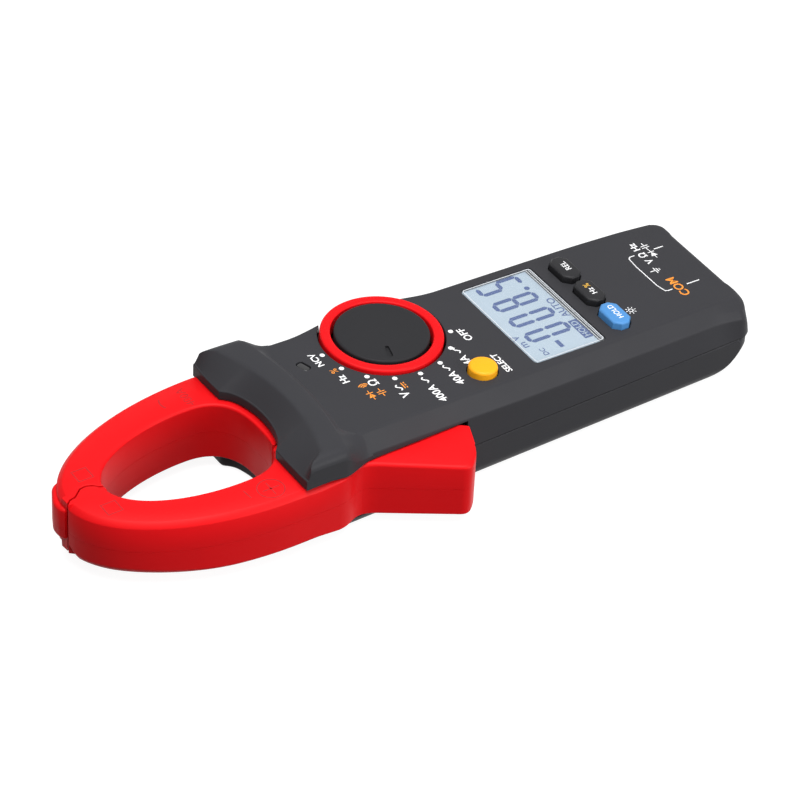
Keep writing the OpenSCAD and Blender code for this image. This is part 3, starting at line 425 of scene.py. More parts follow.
    def tool(self) -> bpy.types.Object:
        """Makes an unfinished solid for cutting or joining.

        Returns:
            The solid's object.
        """
        obj = bpy.data.objects.new(self.name, self.mesh())
        bpy.context.scene.collection.objects.link(obj)
        return obj

    def build(self, finish: "Finish", body: Body, slot: str, replaces: Sequence[str] = (),
              sharp: float = 32.0) -> bpy.types.Object:
        """Makes the finished piece.

        Args:
            finish: its finish.
            body: the body it rides with.
            slot: the record's material slot.
            replaces: the CAD nodes it stands for.
            sharp: edges turning by more degrees stay sharp.

        Returns:
            The piece.
        """
        return dress(self.tool(), finish, body, slot, replaces, sharp)


def solid(name: str, loops: Sequence[np.ndarray], low: Level, high: Level, low_edge: Edge = Edge(),
          high_edge: Edge = Edge(), place: Place = as_is) -> Shape:
    """A shape that starts with one prism.

    Args:
        name: the shape's name.
        loops, low, high, low_edge, high_edge: the prism, as Shape.prism takes it.
        place: the placing of its points.

    Returns:
        The shape.
    """
    shape = Shape(name, place)
    shape.prism(loops, low, high, low_edge, high_edge)
    return shape


def dress(obj: bpy.types.Object, finish: "Finish", body: Body, slot: str, replaces: Sequence[str] = (),
          sharp: float = 32.0, weighted: bool = False) -> bpy.types.Object:
    """Shades a piece, gives it its finish and ties it to the frame.

    Args:
        obj: the piece.
        finish: its finish.
        body: the body it rides with.
        slot: the record's material slot; not used.
        replaces: the CAD nodes it stands for.
        sharp: edges turning by more degrees stay sharp.
        weighted: large faces lead the shading, for cut solids.

    Returns:
        The piece.
    """
    mesh = obj.data
    mesh.materials.clear()
    mesh.materials.append(finish.material())
    mesh.polygons.foreach_set("material_index", np.zeros(len(mesh.polygons), np.int32))
    mesh.polygons.foreach_set("use_smooth", np.ones(len(mesh.polygons), bool))
    mesh.set_sharp_from_angle(angle=math.radians(sharp))
    if weighted:
        mod = obj.modifiers.new("even shading", "WEIGHTED_NORMAL")
        mod.keep_sharp = True
    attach(obj, body.value)
    if replaces:
        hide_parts(*replaces)
    LOG.info("%s: %d faces, rides with %s", obj.name, len(mesh.polygons), body.value)
    return obj


def combine(obj: bpy.types.Object, tools: Sequence[bpy.types.Object], operation: str = "DIFFERENCE") -> None:
    """Cuts tools out of a solid, or joins them to it, and removes the tools.

    Args:
        obj: the solid, which keeps its name and place.
        tools: closed solids.
        operation: DIFFERENCE cuts, UNION joins and INTERSECT keeps what both share.
    """
    for tool in tools:
        mod = obj.modifiers.new("cut", "BOOLEAN")
        mod.object, mod.operation, mod.solver = tool, operation, "MANIFOLD"
    bpy.context.view_layer.update()
    solid = bpy.data.meshes.new_from_object(obj.evaluated_get(bpy.context.evaluated_depsgraph_get()))
    obj.modifiers.clear()
    obj.data = solid
    for tool in tools:
        bpy.data.objects.remove(tool)


def stroke(points: Sequence[Sequence[float]], width: float, closed: bool = False) -> list[np.ndarray]:
    """The outline of a line of some width.

    Both sides lie half the width from the line, mitred at its corners.

    Args:
        points: the line.
        width: its width.
        closed: whether its end joins its start.

    Returns:
        One loop, or an outer loop and a hole for a closed line.
    """
    p = np.array(points, float)
    if closed:
        return [inset(p, -width / 2), inset(p, width / 2)[::-1]]
    step = np.diff(p, axis=0)
    step /= np.linalg.norm(step, axis=1)[:, None]
    left = np.stack([-step[:, 1], step[:, 0]], axis=1)
    first, last = np.vstack([left[:1], left]), np.vstack([left, left[-1:]])
    mitre = first + last
    mitre /= np.maximum((mitre * first).sum(axis=1), 0.6)[:, None]
    return [np.vstack([p - mitre * width / 2, (p + mitre * width / 2)[::-1]])]


def text_mesh(words: str, size: float, at: tuple[float, float], weight: float = 0.0,
              wide: float = 1.0) -> tuple[np.ndarray, list[list[int]]]:
    """Letters as thin closed solids that stand on zero.

    Args:
        words: the letters.
        size: the height of a line, about 1.4 times a capital.
        at: the place of the middle.
        weight: thickening of each stroke's side.
        wide: stretch along the line.

    Returns:
        Points, (n, 3), and faces.
    """
    curve = bpy.data.curves.new("letters", "FONT")
    curve.body, curve.size, curve.offset = words, size, weight
    curve.resolution_u = 3
    curve.extrude = PRINT_H / 2
    curve.align_x = "CENTER"
    curve.align_y = "CENTER"
    holder = bpy.data.objects.new("letters", curve)
    mesh = holder.to_mesh()
    flat = np.empty(len(mesh.vertices) * 3)
    mesh.vertices.foreach_get("co", flat)
    faces = [list(p.vertices) for p in mesh.polygons]
    holder.to_mesh_clear()
    bpy.data.objects.remove(holder)
    bpy.data.curves.remove(curve)
    points = flat.reshape(-1, 3)
    xy = points[:, :2] * np.array([wide, 1.0]) + np.array(at)
    return np.column_stack([xy, points[:, 2] + PRINT_H / 2]), faces


# ---------------------------------------------------------------- finishes


def linear(code: str) -> tuple[float, float, float, float]:
    """The linear colour of a six-digit code: each part to the power 2.4 above a short straight toe."""
    parts = [int(code[i:i + 2], 16) / 255 for i in (0, 2, 4)]
    return (*[v / 12.92 if v <= 0.04045 else ((v + 0.055) / 1.055) ** 2.4 for v in parts], 1.0)


class Wiring:
    """Adds and joins the nodes of one node tree."""

    def __init__(self, tree: bpy.types.NodeTree) -> None:
        """Takes the tree to work in."""
        self.tree = tree

    def add(self, kind: str, **settings: object) -> bpy.types.Node:
        """Adds a node and sets its properties.

        Args:
            kind: the node's type.
            settings: its properties.

        Returns:
            The node.
        """
        node = self.tree.nodes.new(kind)
        for key, value in settings.items():
            setattr(node, key, value)
        return node

    def join(self, source: bpy.types.NodeSocket, node: bpy.types.Node, socket: str | int) -> None:
        """Joins a socket to a node's input."""
        self.tree.links.new(source, node.inputs[socket])

    def math(self, operation: str, a: bpy.types.NodeSocket | float, b: bpy.types.NodeSocket | float = 0.0,
             clamp: bool = False) -> bpy.types.NodeSocket:
        """One arithmetic step on two values.

        Args:
            operation: the step's name.
            a: the first value or socket.
            b: the second value or socket.
            clamp: whether the result stays between 0 and 1.

        Returns:
            The result's socket.
        """
        node = self.add("ShaderNodeMath", operation=operation, use_clamp=clamp)
        for i, value in enumerate((a, b)):
            if isinstance(value, bpy.types.NodeSocket):
                self.join(value, node, i)
            else:
                node.inputs[i].default_value = value
        return node.outputs[0]


def group(name: str, inputs: Sequence[tuple[str, str, object]], output: tuple[str, str],
          fill: Callable[[Wiring, bpy.types.Node], bpy.types.NodeSocket]) -> bpy.types.NodeTree:
    """Makes a shared node group once.

    Args:
        name: the group's name.
        inputs: name, socket type and default of each input.
        output: name and socket type of the output.
        fill: adds the group's nodes and returns the socket to put out.

    Returns:
        The group.
    """
    found = bpy.data.node_groups.get(name)
    if found:
        return found
    tree = bpy.data.node_groups.new(name, "ShaderNodeTree")
    for label, kind, default in inputs:
        socket = tree.interface.new_socket(label, in_out="INPUT", socket_type=kind)
        if default is not None:
            socket.default_value = default
    tree.interface.new_socket(output[0], in_out="OUTPUT", socket_type=output[1])
    wires = Wiring(tree)
    ends = wires.add("NodeGroupInput"), wires.add("NodeGroupOutput")
    wires.join(fill(wires, ends[0]), ends[1], 0)
    return tree


COLOUR, VALUE, VECTOR = "NodeSocketColor", "NodeSocketFloat", "NodeSocketVector"


def noise_of(w: Wiring, ends: bpy.types.Node, detail: float) -> bpy.types.NodeSocket:
    """Soft noise of some detail at the group's place and scale.

    Args:
        w: the group's nodes.
        ends: the group's input node.
        detail: how many finer layers the noise has.

    Returns:
        The noise's socket.
    """
    noise = w.add("ShaderNodeTexNoise")
    noise.inputs["Detail"].default_value = detail
    w.join(ends.outputs["Place"], noise, "Vector")
    w.join(ends.outputs["Scale"], noise, "Scale")
    return noise.outputs[0]


def tone_group() -> bpy.types.NodeTree:
    """Colour times 1 + spread times soft noise about zero, so that a moulding isn't one flat colour.

    Returns:
        The group.
    """
    def fill(w: Wiring, ends: bpy.types.Node) -> bpy.types.NodeSocket:
        """Noise less a half, times the spread, plus one, times the colour.

        Args:
            w: the group's nodes.
            ends: the group's input node.

        Returns:
            The colour.
        """
        about_zero = w.math("SUBTRACT", noise_of(w, ends, 3.0), 0.5)
        change = w.math("ADD", w.math("MULTIPLY", about_zero, ends.outputs["Spread"]), 1.0)
        mix = w.add("ShaderNodeVectorMath", operation="SCALE")
        w.join(ends.outputs["Colour"], mix, 0)
        w.join(change, mix, "Scale")
        return mix.outputs[0]
    return group("Tone", [("Colour", COLOUR, (0.5, 0.5, 0.5, 1)), ("Place", VECTOR, None), ("Scale", VALUE, 60.0),
                          ("Spread", VALUE, 0.1)], ("Colour", COLOUR), fill)


def grain_group() -> bpy.types.NodeTree:
    """The normal of a fine moulded or cast grain: noise taken as height.

    Returns:
        The group.
    """
    def fill(w: Wiring, ends: bpy.types.Node) -> bpy.types.NodeSocket:
        """Noise at the grain's scale into a bump of the grain's depth.

        Args:
            w: the group's nodes.
            ends: the group's input node.

        Returns:
            The normal.
        """
        noise = noise_of(w, ends, 2.0)
        bump = w.add("ShaderNodeBump")
        bump.inputs["Strength"].default_value = 1.0
        w.join(ends.outputs["Depth"], bump, "Distance")
        w.join(noise, bump, "Height")
        return bump.outputs[0]
    return group("Grain", [("Place", VECTOR, None), ("Scale", VALUE, 3000.0), ("Depth", VALUE, 1e-5)],
                 ("Normal", VECTOR), fill)


def wear_group() -> bpy.types.NodeTree:
    """Roughness between two values after soft blotches, as handling leaves them.

    Returns:
        The group.
    """
    def fill(w: Wiring, ends: bpy.types.Node) -> bpy.types.NodeSocket:
        """Low plus the blotches' mask times high less low.

        Args:
            w: the group's nodes.
            ends: the group's input node.

        Returns:
            The roughness.
        """
        noise = noise_of(w, ends, 4.0)
        span = w.math("SUBTRACT", ends.outputs["High"], ends.outputs["Low"])
        return w.math("ADD", w.math("MULTIPLY", noise, span), ends.outputs["Low"])
    return group("Wear", [("Place", VECTOR, None), ("Scale", VALUE, 120.0), ("Low", VALUE, 0.4),
                          ("High", VALUE, 0.6)], ("Roughness", VALUE), fill)


def brush_group() -> bpy.types.NodeTree:
    """A brushed or drawn metal's normal: noise stretched along one direction, taken as height.

    Returns:
        The group.
    """
    def fill(w: Wiring, ends: bpy.types.Node) -> bpy.types.NodeSocket:
        """The place times the stretch, into noise, into a shallow bump.

        Args:
            w: the group's nodes.
            ends: the group's input node.

        Returns:
            The normal.
        """
        place = w.add("ShaderNodeVectorMath", operation="MULTIPLY")
        w.join(ends.outputs["Place"], place, 0)
        w.join(ends.outputs["Stretch"], place, 1)
        noise = w.add("ShaderNodeTexNoise")
        noise.inputs["Scale"].default_value = 1.0
        w.join(place.outputs[0], noise, "Vector")
        bump = w.add("ShaderNodeBump")
        bump.inputs["Strength"].default_value = 0.6
        bump.inputs["Distance"].default_value = 4e-6
        w.join(noise.outputs[0], bump, "Height")
        return bump.outputs[0]
    return group("Brush", [("Place", VECTOR, None), ("Stretch", VECTOR, (300.0, 4000.0, 4000.0))],
                 ("Normal", VECTOR), fill)


@dataclass(frozen=True)
class Finish:
    """A finish: a name, a colour and how the surface varies; made into a material once."""

    name: str
    colour: str
    low: float = 0.42
    high: float = 0.58
    spread: float = 0.08
    tone_scale: float = 90.0
    gloss: float = 0.4

    def material(self) -> bpy.types.Material:
        """The finish's material, made at its first use.

        Returns:
            The material.
        """
        found = bpy.data.materials.get(self.name)
        if found:
            return found
        made = bpy.data.materials.new(self.name)
        made.use_nodes = True
        made.diffuse_color = linear(self.colour)
        wires = Wiring(made.node_tree)
        shader = made.node_tree.nodes["Principled BSDF"]
        shader.inputs["Specular IOR Level"].default_value = self.gloss
        place = wires.add("ShaderNodeTexCoord").outputs["Object"]
        tone = wires.add("ShaderNodeGroup", node_tree=tone_group())
        tone.inputs["Colour"].default_value = linear(self.colour)
        tone.inputs["Scale"].default_value = self.tone_scale
        tone.inputs["Spread"].default_value = self.spread
        wear = wires.add("ShaderNodeGroup", node_tree=wear_group())
        wear.inputs["Low"].default_value, wear.inputs["High"].default_value = self.low, self.high
        for node in (tone, wear):
            wires.join(place, node, "Place")
        wires.join(tone.outputs[0], shader, "Base Color")
        wires.join(wear.outputs[0], shader, "Roughness")
        self.extend(wires, shader, place)
        return made

    def extend(self, wires: Wiring, shader: bpy.types.Node, place: bpy.types.NodeSocket) -> None:
        """Adds what a kind of finish has beyond colour and roughness."""


@dataclass(frozen=True)
class Plastic(Finish):
    """Moulded plastic with a fine grain."""

    grain: float = 2600.0
    depth: float = 1.2e-5

    def extend(self, wires: Wiring, shader: bpy.types.Node, place: bpy.types.NodeSocket) -> None:
        """Adds the grain's normal.

        Args:
            wires: the material's nodes.
            shader: the surface's node.
            place: the point on the piece.
        """
        grain = wires.add("ShaderNodeGroup", node_tree=grain_group())
        grain.inputs["Scale"].default_value, grain.inputs["Depth"].default_value = self.grain, self.depth
        wires.join(place, grain, "Place")
        wires.join(grain.outputs[0], shader, "Normal")


@dataclass(frozen=True)
class Metal(Finish):
    """Metal with drawn or brushed lines."""

    low: float = 0.22
    high: float = 0.42
    stretch: tuple[float, float, float] = (300.0, 4000.0, 4000.0)

    def extend(self, wires: Wiring, shader: bpy.types.Node, place: bpy.types.NodeSocket) -> None:
        """Adds the lines' normal.

        Args:
            wires: the material's nodes.
            shader: the surface's node.
            place: the point on the piece.
        """
        shader.inputs["Metallic"].default_value = 1.0
        brush = wires.add("ShaderNodeGroup", node_tree=brush_group())
        brush.inputs["Stretch"].default_value = self.stretch
        wires.join(place, brush, "Place")
        wires.join(brush.outputs[0], shader, "Normal")


@dataclass(frozen=True)
class Clear(Finish):
    """Clear plastic seen as a thin gloss over what lies behind it."""

    alpha: float = 0.06

    def extend(self, wires: Wiring, shader: bpy.types.Node, place: bpy.types.NodeSocket) -> None:
        """Makes the body of the plastic see-through."""
        shader.inputs["Alpha"].default_value = self.alpha


@dataclass(frozen=True)
class Glow(Plastic):
    """Plastic or ink that gives a little light of its own colour: a real lamp, or painted light on the display glass,
    which is no lamp.
    """

    glow: float = 0.3

    def extend(self, wires: Wiring, shader: bpy.types.Node, place: bpy.types.NodeSocket) -> None:
        """Adds the light."""
        shader.inputs["Emission Color"].default_value = linear(self.colour)
        shader.inputs["Emission Strength"].default_value = self.glow


class F(Enum):
    """The finishes in use."""

    GREY = Plastic("case plastic", "343437", 0.32, 0.46, gloss=0.06)
    RED = Plastic("red plastic", "d90f15", 0.4, 0.52, gloss=0.12)
    # The darker red of the jaws' engraved marks is painted shade of their grooves.
    ENGRAVING_SHADE = Plastic("engraved red painted shade", "b01218", 0.5, 0.65, gloss=0.3)
    DISC = Plastic("selector plastic", "262628", 0.4, 0.52, gloss=0.08)
    BLACK_KEY = Plastic("black key", "222224", 0.35, 0.5, gloss=0.16)
    BLUE_KEY = Plastic("blue key", "4b86c0", 0.35, 0.5, gloss=0.2)
    YELLOW_KEY = Plastic("yellow key", "f0a51a", 0.35, 0.5, gloss=0.2)
    BLACK = Plastic("black plastic", "121213", 0.4, 0.55, gloss=0.15)
    WHITE = Plastic("white plastic", "e2e2de", 0.4, 0.5)
    INK = Plastic("white print", "e9e9ea", 0.45, 0.6, gloss=0.3)
    ORANGE = Plastic("orange print", "ea9136", 0.45, 0.6, gloss=0.3)
    AMBER = Plastic("amber print", "e3b24a", 0.45, 0.6, gloss=0.3)
    SMOKE = Plastic("smoked window", "1b1b1d", 0.06, 0.12, gloss=0.6)
    LENS = Clear("clear window", "dfe9ee", 0.04, 0.09, gloss=0.6)
    # Pale lines at the display window's edges: painted reflections of the clear plate's edges.
    PAINTED_REFLECTION = Plastic("window edge painted reflection", "c9cdd2", 0.12, 0.2, gloss=0.6)
    # The display glass is no lamp: its glow is painted light that brightens it and its light words.
    LCD = Glow("display glass", "98a7b4", 0.2, 0.3, spread=0.03, glow=0.1)
    SEGMENT = Plastic("display segments", "243f78", 0.35, 0.5, gloss=0.2)
    PANEL = Glow("light panel", "eef2f5", 0.3, 0.4, glow=0.2)
    RUBBER = Plastic("rubber strip", "7d7f86", 0.6, 0.8, grain=5000.0)
    BOARD = Plastic("solder mask", "22592f", 0.3, 0.45, spread=0.2, tone_scale=400.0)
    STEEL = Metal("steel", "b9bbc0")
    SPRING = Metal("spring steel", "adb0b4", 0.25, 0.4, stretch=(4000.0, 4000.0, 400.0))
    IRON = Metal("core iron", "6d6f74", 0.45, 0.65, stretch=(50.0, 50.0, 9000.0))
    COPPER = Metal("enamelled copper", "b86f42", 0.25, 0.4, stretch=(2500.0, 2500.0, 2500.0))
    BRASS = Metal("brass", "c8a453", 0.2, 0.35)
    LAMP = Glow("lamp", "ece4c4", 0.1, 0.2, glow=0.1)
    CELL = Plastic("cell wrap", "2f6fae", 0.15, 0.3, grain=600.0, depth=4e-6)

    def material(self) -> bpy.types.Material:
        """The finish's material."""
        return self.value.material()


SLOT_FINISH: dict[str, F] = {
    "body_grey": F.GREY, "jaw_red": F.RED, "dial_grey": F.DISC, "key_black": F.BLACK_KEY, "key_blue": F.BLUE_KEY,
    "key_yellow": F.YELLOW_KEY, "part_black": F.BLACK, "frame_white": F.WHITE, "window_clear": F.LENS,
    "display_glass": F.LCD, "light_panel": F.PANEL, "strip_grey": F.RUBBER, "board_green": F.BOARD, "steel": F.STEEL,
    "spring_steel": F.SPRING, "core_iron": F.IRON, "copper_wire": F.COPPER, "brass": F.BRASS, "lamp": F.LAMP,
    "cell_wrap": F.CELL,
}


# ---------------------------------------------------------------- jaws


@dataclass(frozen=True)
class JawSizes:
    """The jaws' sizes, as the frame has them."""

    half_w: float = 29.5
    shoulder: float = 52.0
    tip: float = 108.5
    power: float = 2.0
    open_half: float = 16.7
    open_low: float = 47.2
    open_mid: float = 62.0
    open_top: float = 96.2
    low_z: float = 4.8
    top_z: float = 23.6
    part_z: float = 14.0
    pivot: tuple[float, float] = (-19.0, 40.0)
    seam_r: float = 12.9
    gap: float = 0.3
    top_low: float = 22.7
    top_rise: float = 0.9
    nose_low: float = 10.6
    nose_top: float = 21.0
    low_power: float = 2.6
    square: float = 4.4
    mark_line: float = 0.4


class Jaws:
    """Both jaws: shells in halves, the nose block and the engraved marks."""

    # The stepped line where the two jaws meet at the tip, from outside to inside.
    SPLIT = np.array([(-1.2, 108.2), (-0.1, 106.9), (0.4, 104.9), (2.6, 102.3), (2.9, 100.4), (2.1, 98.5),
                      (0.9, 97.5), (0.2, 96.15)], float)
    # The trigger's outline from the waist round its tip to the seam.
    TRIGGER = [(-29.3, 37.0, 2.5), (-26.9, 32.6, 2.5), (-27.2, 29.0, 3.0), (-42.0, 5.3, 2.4), (-37.4, 0.2, 4.0),
               (-27.4, -3.65, 0.5), (-24.0, 0.6, 1.6), (-22.6, 12.0, 4.0), (-20.5, 25.5, 2.0)]
    # The nose block at the fixed jaw's tip.
    NOSE = [(1.9, 104.2, 0), (7.0, 99.5, 0), (11.4, 103.4, 0), (10.6, 105.9, 1.0), (9.2, 107.3, 0.9),
            (4.0, 109.8, 1.2), (1.0, 109.75, 0.9), (-0.7, 108.8, 0), (-0.4, 106.8, 0)]
    # Size and squareness of the rims along the outside and along the opening.
    OUTSIDE = (1.7, 1.2)
    INSIDE = (0.9, 2.0)
    # Points on the opening's edge below its widest line.
    LOW_POINTS = 22

    def __init__(self, sizes: JawSizes = JawSizes()) -> None:
        """Takes the sizes."""
        self.s = sizes

    def outer(self, side: int, n: int = 40) -> np.ndarray:
        """The jaws' outer curve from the shoulder to the tip: a superellipse above the shoulder.

        Args:
            side: -1 for the left, 1 for the right.
            n: how many points.

        Returns:
            The points.
        """
        s = self.s
        p = super_arc(s.half_w, s.tip - s.shoulder, s.power, 0, 86.5, n) + np.array([0, s.shoulder])
        return p * np.array([side, 1])

    def opening(self, side: int, start: float) -> np.ndarray:
        """The opening's edge from a low angle up to its far end.

        Below the widest line it is a superellipse of power 2.6, above it an ellipse.

        Args:
            side: -1 for the moving jaw's side, 1 for the other.
            start: the angle below the widest line where the edge starts.

        Returns:
            The points, from low to high.
        """
        s = self.s
        low = super_arc(s.open_half, s.open_mid - s.open_low, s.low_power, -start, 0, self.LOW_POINTS)
        high = super_arc(s.open_half, s.open_top - s.open_mid, 2.0 if side < 0 else 1.9, 4, 86.5, 30)
        return (np.vstack([low, high]) + np.array([0, s.open_mid])) * np.array([side, 1])

    def top(self, p: np.ndarray) -> np.ndarray:
        """The front shells' top.

        22.7 at the trigger, easing up to 23.6 from y 42 to 50, and falling by
        up to 0.9 towards the trigger's tip.

        Args:
            p: points.

        Returns:
            Their heights.
        """
        x, y = p[:, 0], p[:, 1]
        fall = np.clip(-(x + 26) / 16, 0, 1) * (1 - smooth((y - 34) / 6))
        return self.s.top_low + self.s.top_rise * smooth((y - 42) / 8) - self.s.top_rise * fall

    def bottom(self, p: np.ndarray) -> np.ndarray:
        """The rear shells' underside: flat, and up to 1.8 higher where the split meets the tip's outside."""
        return self.s.low_z + 1.8 * smooth((p[:, 1] - 106.0) / 2.2) * smooth((4.5 - np.abs(p[:, 0] + 0.5)) / 2.5)

    def moving_loop(self) -> tuple[np.ndarray, np.ndarray, np.ndarray]:
        """The moving jaw's outline with the rim's size and squareness at each point.

        Returns:
            Its points, and the rim's size and squareness at each.
        """
        s = self.s
        seam = arc(*s.pivot, s.seam_r, -62, 45, 24)
        split = (self.SPLIT + np.array([-s.gap, 0]))[::-1]
        trigger = rounded([(-29.5, 46.0, 0)] + self.TRIGGER + [(-13.0, 28.6, 0)], 6)[1:-1]
        inner = int(np.argmax((trigger[:, 1] < 0) & (trigger[:, 0] > -29.5)))
        parts = [(self.outer(-1)[::-1], *self.OUTSIDE), (np.array([[-29.5, 46.0]]), *self.OUTSIDE),
                 (trigger[:inner], 1.0, 1.8), (trigger[inner:], 0.4, 2.0), (seam, 0.3, 2.0),
                 (self.opening(-1, 57.5), *self.INSIDE), (split, 0.25, 2.0)]
        return self.joined(parts)

    def fixed_loop(self) -> tuple[np.ndarray, np.ndarray, np.ndarray]:
        """The fixed jaw's outline with the rim's size and squareness at each point.

        Returns:
            Its points, and the rim's size and squareness at each.
        """
        s = self.s
        seam = arc(*s.pivot, s.seam_r + 0.3, 35.0, -24, 18)
        across, down = s.open_half, s.open_mid - s.open_low
        middle = np.array([0, s.open_mid])
        low = super_arc(across, down, s.low_power, 0, -90, 24) + middle
        low_left = super_arc(across, down, s.low_power, -90, -69, 8) * np.array([-1, 1]) + middle
        high = self.opening(1, 40)[self.LOW_POINTS:][::-1]
        split = self.SPLIT + np.array([s.gap, 0])
        foot = np.array([(-7.0, 29.5), (23.8, 29.5), (23.8, 36.9), (29.5, 36.9)], float)
        parts = [(self.outer(1), *self.OUTSIDE), (split, 0.25, 2.0), (high, *self.INSIDE), (low, *self.INSIDE),
                 (low_left[1:6], *self.INSIDE), (low_left[6:], 0.1, 2.0), (seam, 0.15, 2.0), (foot, 0.3, 2.0),
                 (np.array([[29.5, 44.0]]), *self.OUTSIDE)]
        return self.joined(parts)

    @staticmethod
    def joined(parts: Sequence[tuple[np.ndarray, float, float]]) -> tuple[np.ndarray, np.ndarray, np.ndarray]:
        """Joins stretches of an outline.

        Where a stretch meets one with a smaller rim, its last point takes the
        smaller size, and a point 0.3 mm before it keeps its own.

        Args:
            parts: points, rim size and squareness of each stretch.

        Returns:
            Points, sizes and squarenesses.
        """
        loops, sizes, powers = [], [], []
        for i, (p, own, power) in enumerate(parts):
            r = np.full(len(p), own)
            for end, beside, other in ((0, 1, parts[i - 1][1]), (-1, -2, parts[(i + 1) % len(parts)][1])):
                if other >= own or len(p) < 3:
                    continue
                step = p[beside] - p[end]
                near = p[end] + step * min(0.3 / max(np.linalg.norm(step), 1e-6), 0.5)
                at = 1 if end == 0 else len(p) - 1
                p, r = np.insert(p, at, near, axis=0), np.insert(r, at, own)
                r[end] = other
            loops.append(p)
            sizes.append(r)
            powers.append(np.full(len(p), power))
        loop, r, q = (np.concatenate(v) for v in (loops, sizes, powers))
        keep = np.linalg.norm(np.roll(loop, -1, axis=0) - loop, axis=1) > 0.02
        return loop[keep], r[keep], q[keep]

    def shell(self, node: str, loop: tuple[np.ndarray, np.ndarray, np.ndarray], body: Body,
              front: bool) -> bpy.types.Object:
        """One half of a jaw, with a fine groove at the parting line.

        Args:
            node: the CAD node it stands for.
            loop: outline, rim sizes and squarenesses.
            body: its body.
            front: the upper half or the lower.

        Returns:
            The piece.
        """
        s = self.s
        points, r, q = loop
        curved = r > 1.5
        rim = Edge(r, q, 5)
        large = 1.4 + 2.0 * smooth((points[:, 1] - 70) / 30)
        foot = Edge(np.where(curved, large, np.minimum(r, 0.5)), np.where(curved, 1.6, 2.0), 5)
        shape = Shape(node + "_shell")
        if front:
            shape.prism([points], s.part_z + PARTING_GAP, self.top, Edge(), rim)
        else:
            shape.prism([points], self.bottom, s.part_z - PARTING_GAP, foot)
        if body is Body.METER:
            nose, soft = rounded(self.NOSE, 4), Edge(0.7, 1.4, 4)
            if front:
                shape.prism([nose], s.part_z + PARTING_GAP, s.nose_top, Edge(), soft)
            else:
                shape.prism([nose], s.nose_low, s.part_z - PARTING_GAP, soft)
        if front:
            return shape.build(F.RED, body, "jaw_red", [node])
        obj = shape.tool()
        seats = []
        for x, y in next(screws.places for screws in SCREWS
                         if screws.body is body and screws.node.endswith("jaw_screws")):
            seats += [solid("seat", [circle(x, y, r, 40)], 2.0, top).tool() for r, top in ((2.9, 6.85), (1.3, 16.0))]
        combine(obj, seats)
        return dress(obj, F.RED, body, "jaw_red", [node], 32.0, True)

    def marks(self, name: str, body: Body, loops: Sequence[list[np.ndarray]]) -> None:
        """Engraved marks as fine strips just over the top, in a darker red that is painted shade of the engraved
        grooves.

        Args:
            name: the marks' name.
            body: the body that carries them.
            loops: each mark's outlines.
        """
        shape = Shape(name)
        for loop in loops:
            shape.prism(loop, self.s.top_z - 0.05, self.s.top_z + 0.03)
        if body is Body.METER:
            points, faces = text_mesh("400A", 3.7, (21.6, 57.9), weight=0.0)
            shape.add(points + np.array([0, 0, self.s.top_z]), faces)
        shape.build(F.ENGRAVING_SHADE, body, "jaw_red")

    def build(self) -> None:
        """Makes the jaws' pieces."""
        for jaw, body, loop in (("moving_jaw", Body.JAW, self.moving_loop()),
                                ("fixed_jaw", Body.METER, self.fixed_loop())):
            for half, front in (("front", True), ("rear", False)):
                self.shell(f"{jaw}_{half}", loop, body, front)
        line, square = self.s.mark_line, box_loop(self.s.square, self.s.square)
        bars = [[(-25.9, 58.1), (-20.7, 58.1)], [(-23.3, 55.5), (-23.3, 60.7)], [(-20.4, 65.0), (-24.0, 64.7)]]
        self.marks("moving_jaw_marks", Body.JAW, [
            stroke(arc(-23.3, 58.1, 3.8, 0, 350, 36), line, True), *[stroke(bar, 0.45) for bar in bars],
            stroke(square + np.array([-8.5, 98.8]), line, True)])
        self.marks("fixed_jaw_marks", Body.METER, [
            stroke(square + np.array([7.3, 98.8]), line, True), stroke(arc(22.2, 61.6, 4.0, 60, 120, 7), 0.5)])


# ---------------------------------------------------------------- case


@dataclass(frozen=True)
class CaseSizes:
    """The case's sizes, as the frame has them."""

    tail: float = 104.2
    bevel_drop: float = 5.75
    bevel_run: float = 3.7
    half_w: float = 27.1
    taper: float = math.tan(math.radians(0.6))
    lean: float = math.tan(math.radians(6.2))
    part_z: float = 14.0
    corner: float = 4.8
    wall: float = 2.0
    end_y: float = 36.5
    base_round: float = 5.8
    tail_rise: float = 13.2
    well_r: float = 18.15
    well_depth: float = 4.6
    jack_x: float = 9.5
    jack_z: float = 15.5
    key_gap: float = 0.5
    flare: float = 3.1


@dataclass(frozen=True)
class GuardSizes:
    """The hand guard's sizes: widths and heights, and where its rows lie along the case."""

    half_w: float = 29.4
    roll: float = 3.4
    bottom: float = 22.9
    crest_z: float = 32.2
    crest_y: float = 39.8
    crest_end_y: float = 49.2
    bow_r: float = 70.0
    band_y: float = 33.6
    band_drop: float = 0.4
    foot_half_w: float = 26.5
    front_y: float = 50.5
    front_z: float = 26.8
    front_wall_z: float = 25.0
    front_r: float = 0.5
    hollow: float = 5.1
    hollow_x: float = 1.3
    hollow_half_w: float = 14.2


def bend(a: np.ndarray, corner: np.ndarray, b: np.ndarray, arm: float, n: int = 5) -> np.ndarray:
    """Rounds a row of corners: a quadratic curve between points an arm away along both sides.

    Args:
        a, corner, b: points before, at and after the corners, (columns, 3).
        arm: the arm's length, at most 0.45 of a side.
        n: points per corner.

    Returns:
        Rows, (n, columns, 3).
    """
    def towards(p: np.ndarray) -> np.ndarray:
        """The point an arm away from the corner.

        Args:
            p: points before or after the corners.

        Returns:
            The points, no further along than 0.45 of a side.
        """
        side = p - corner
        length = np.maximum(np.linalg.norm(side, axis=1), 1e-6)
        return corner + side * (np.minimum(arm, 0.45 * length) / length)[:, None]
    t = np.linspace(0, 1, n)[:, None, None]
    return (1 - t) ** 2 * towards(a) + 2 * t * (1 - t) * corner + t ** 2 * towards(b)


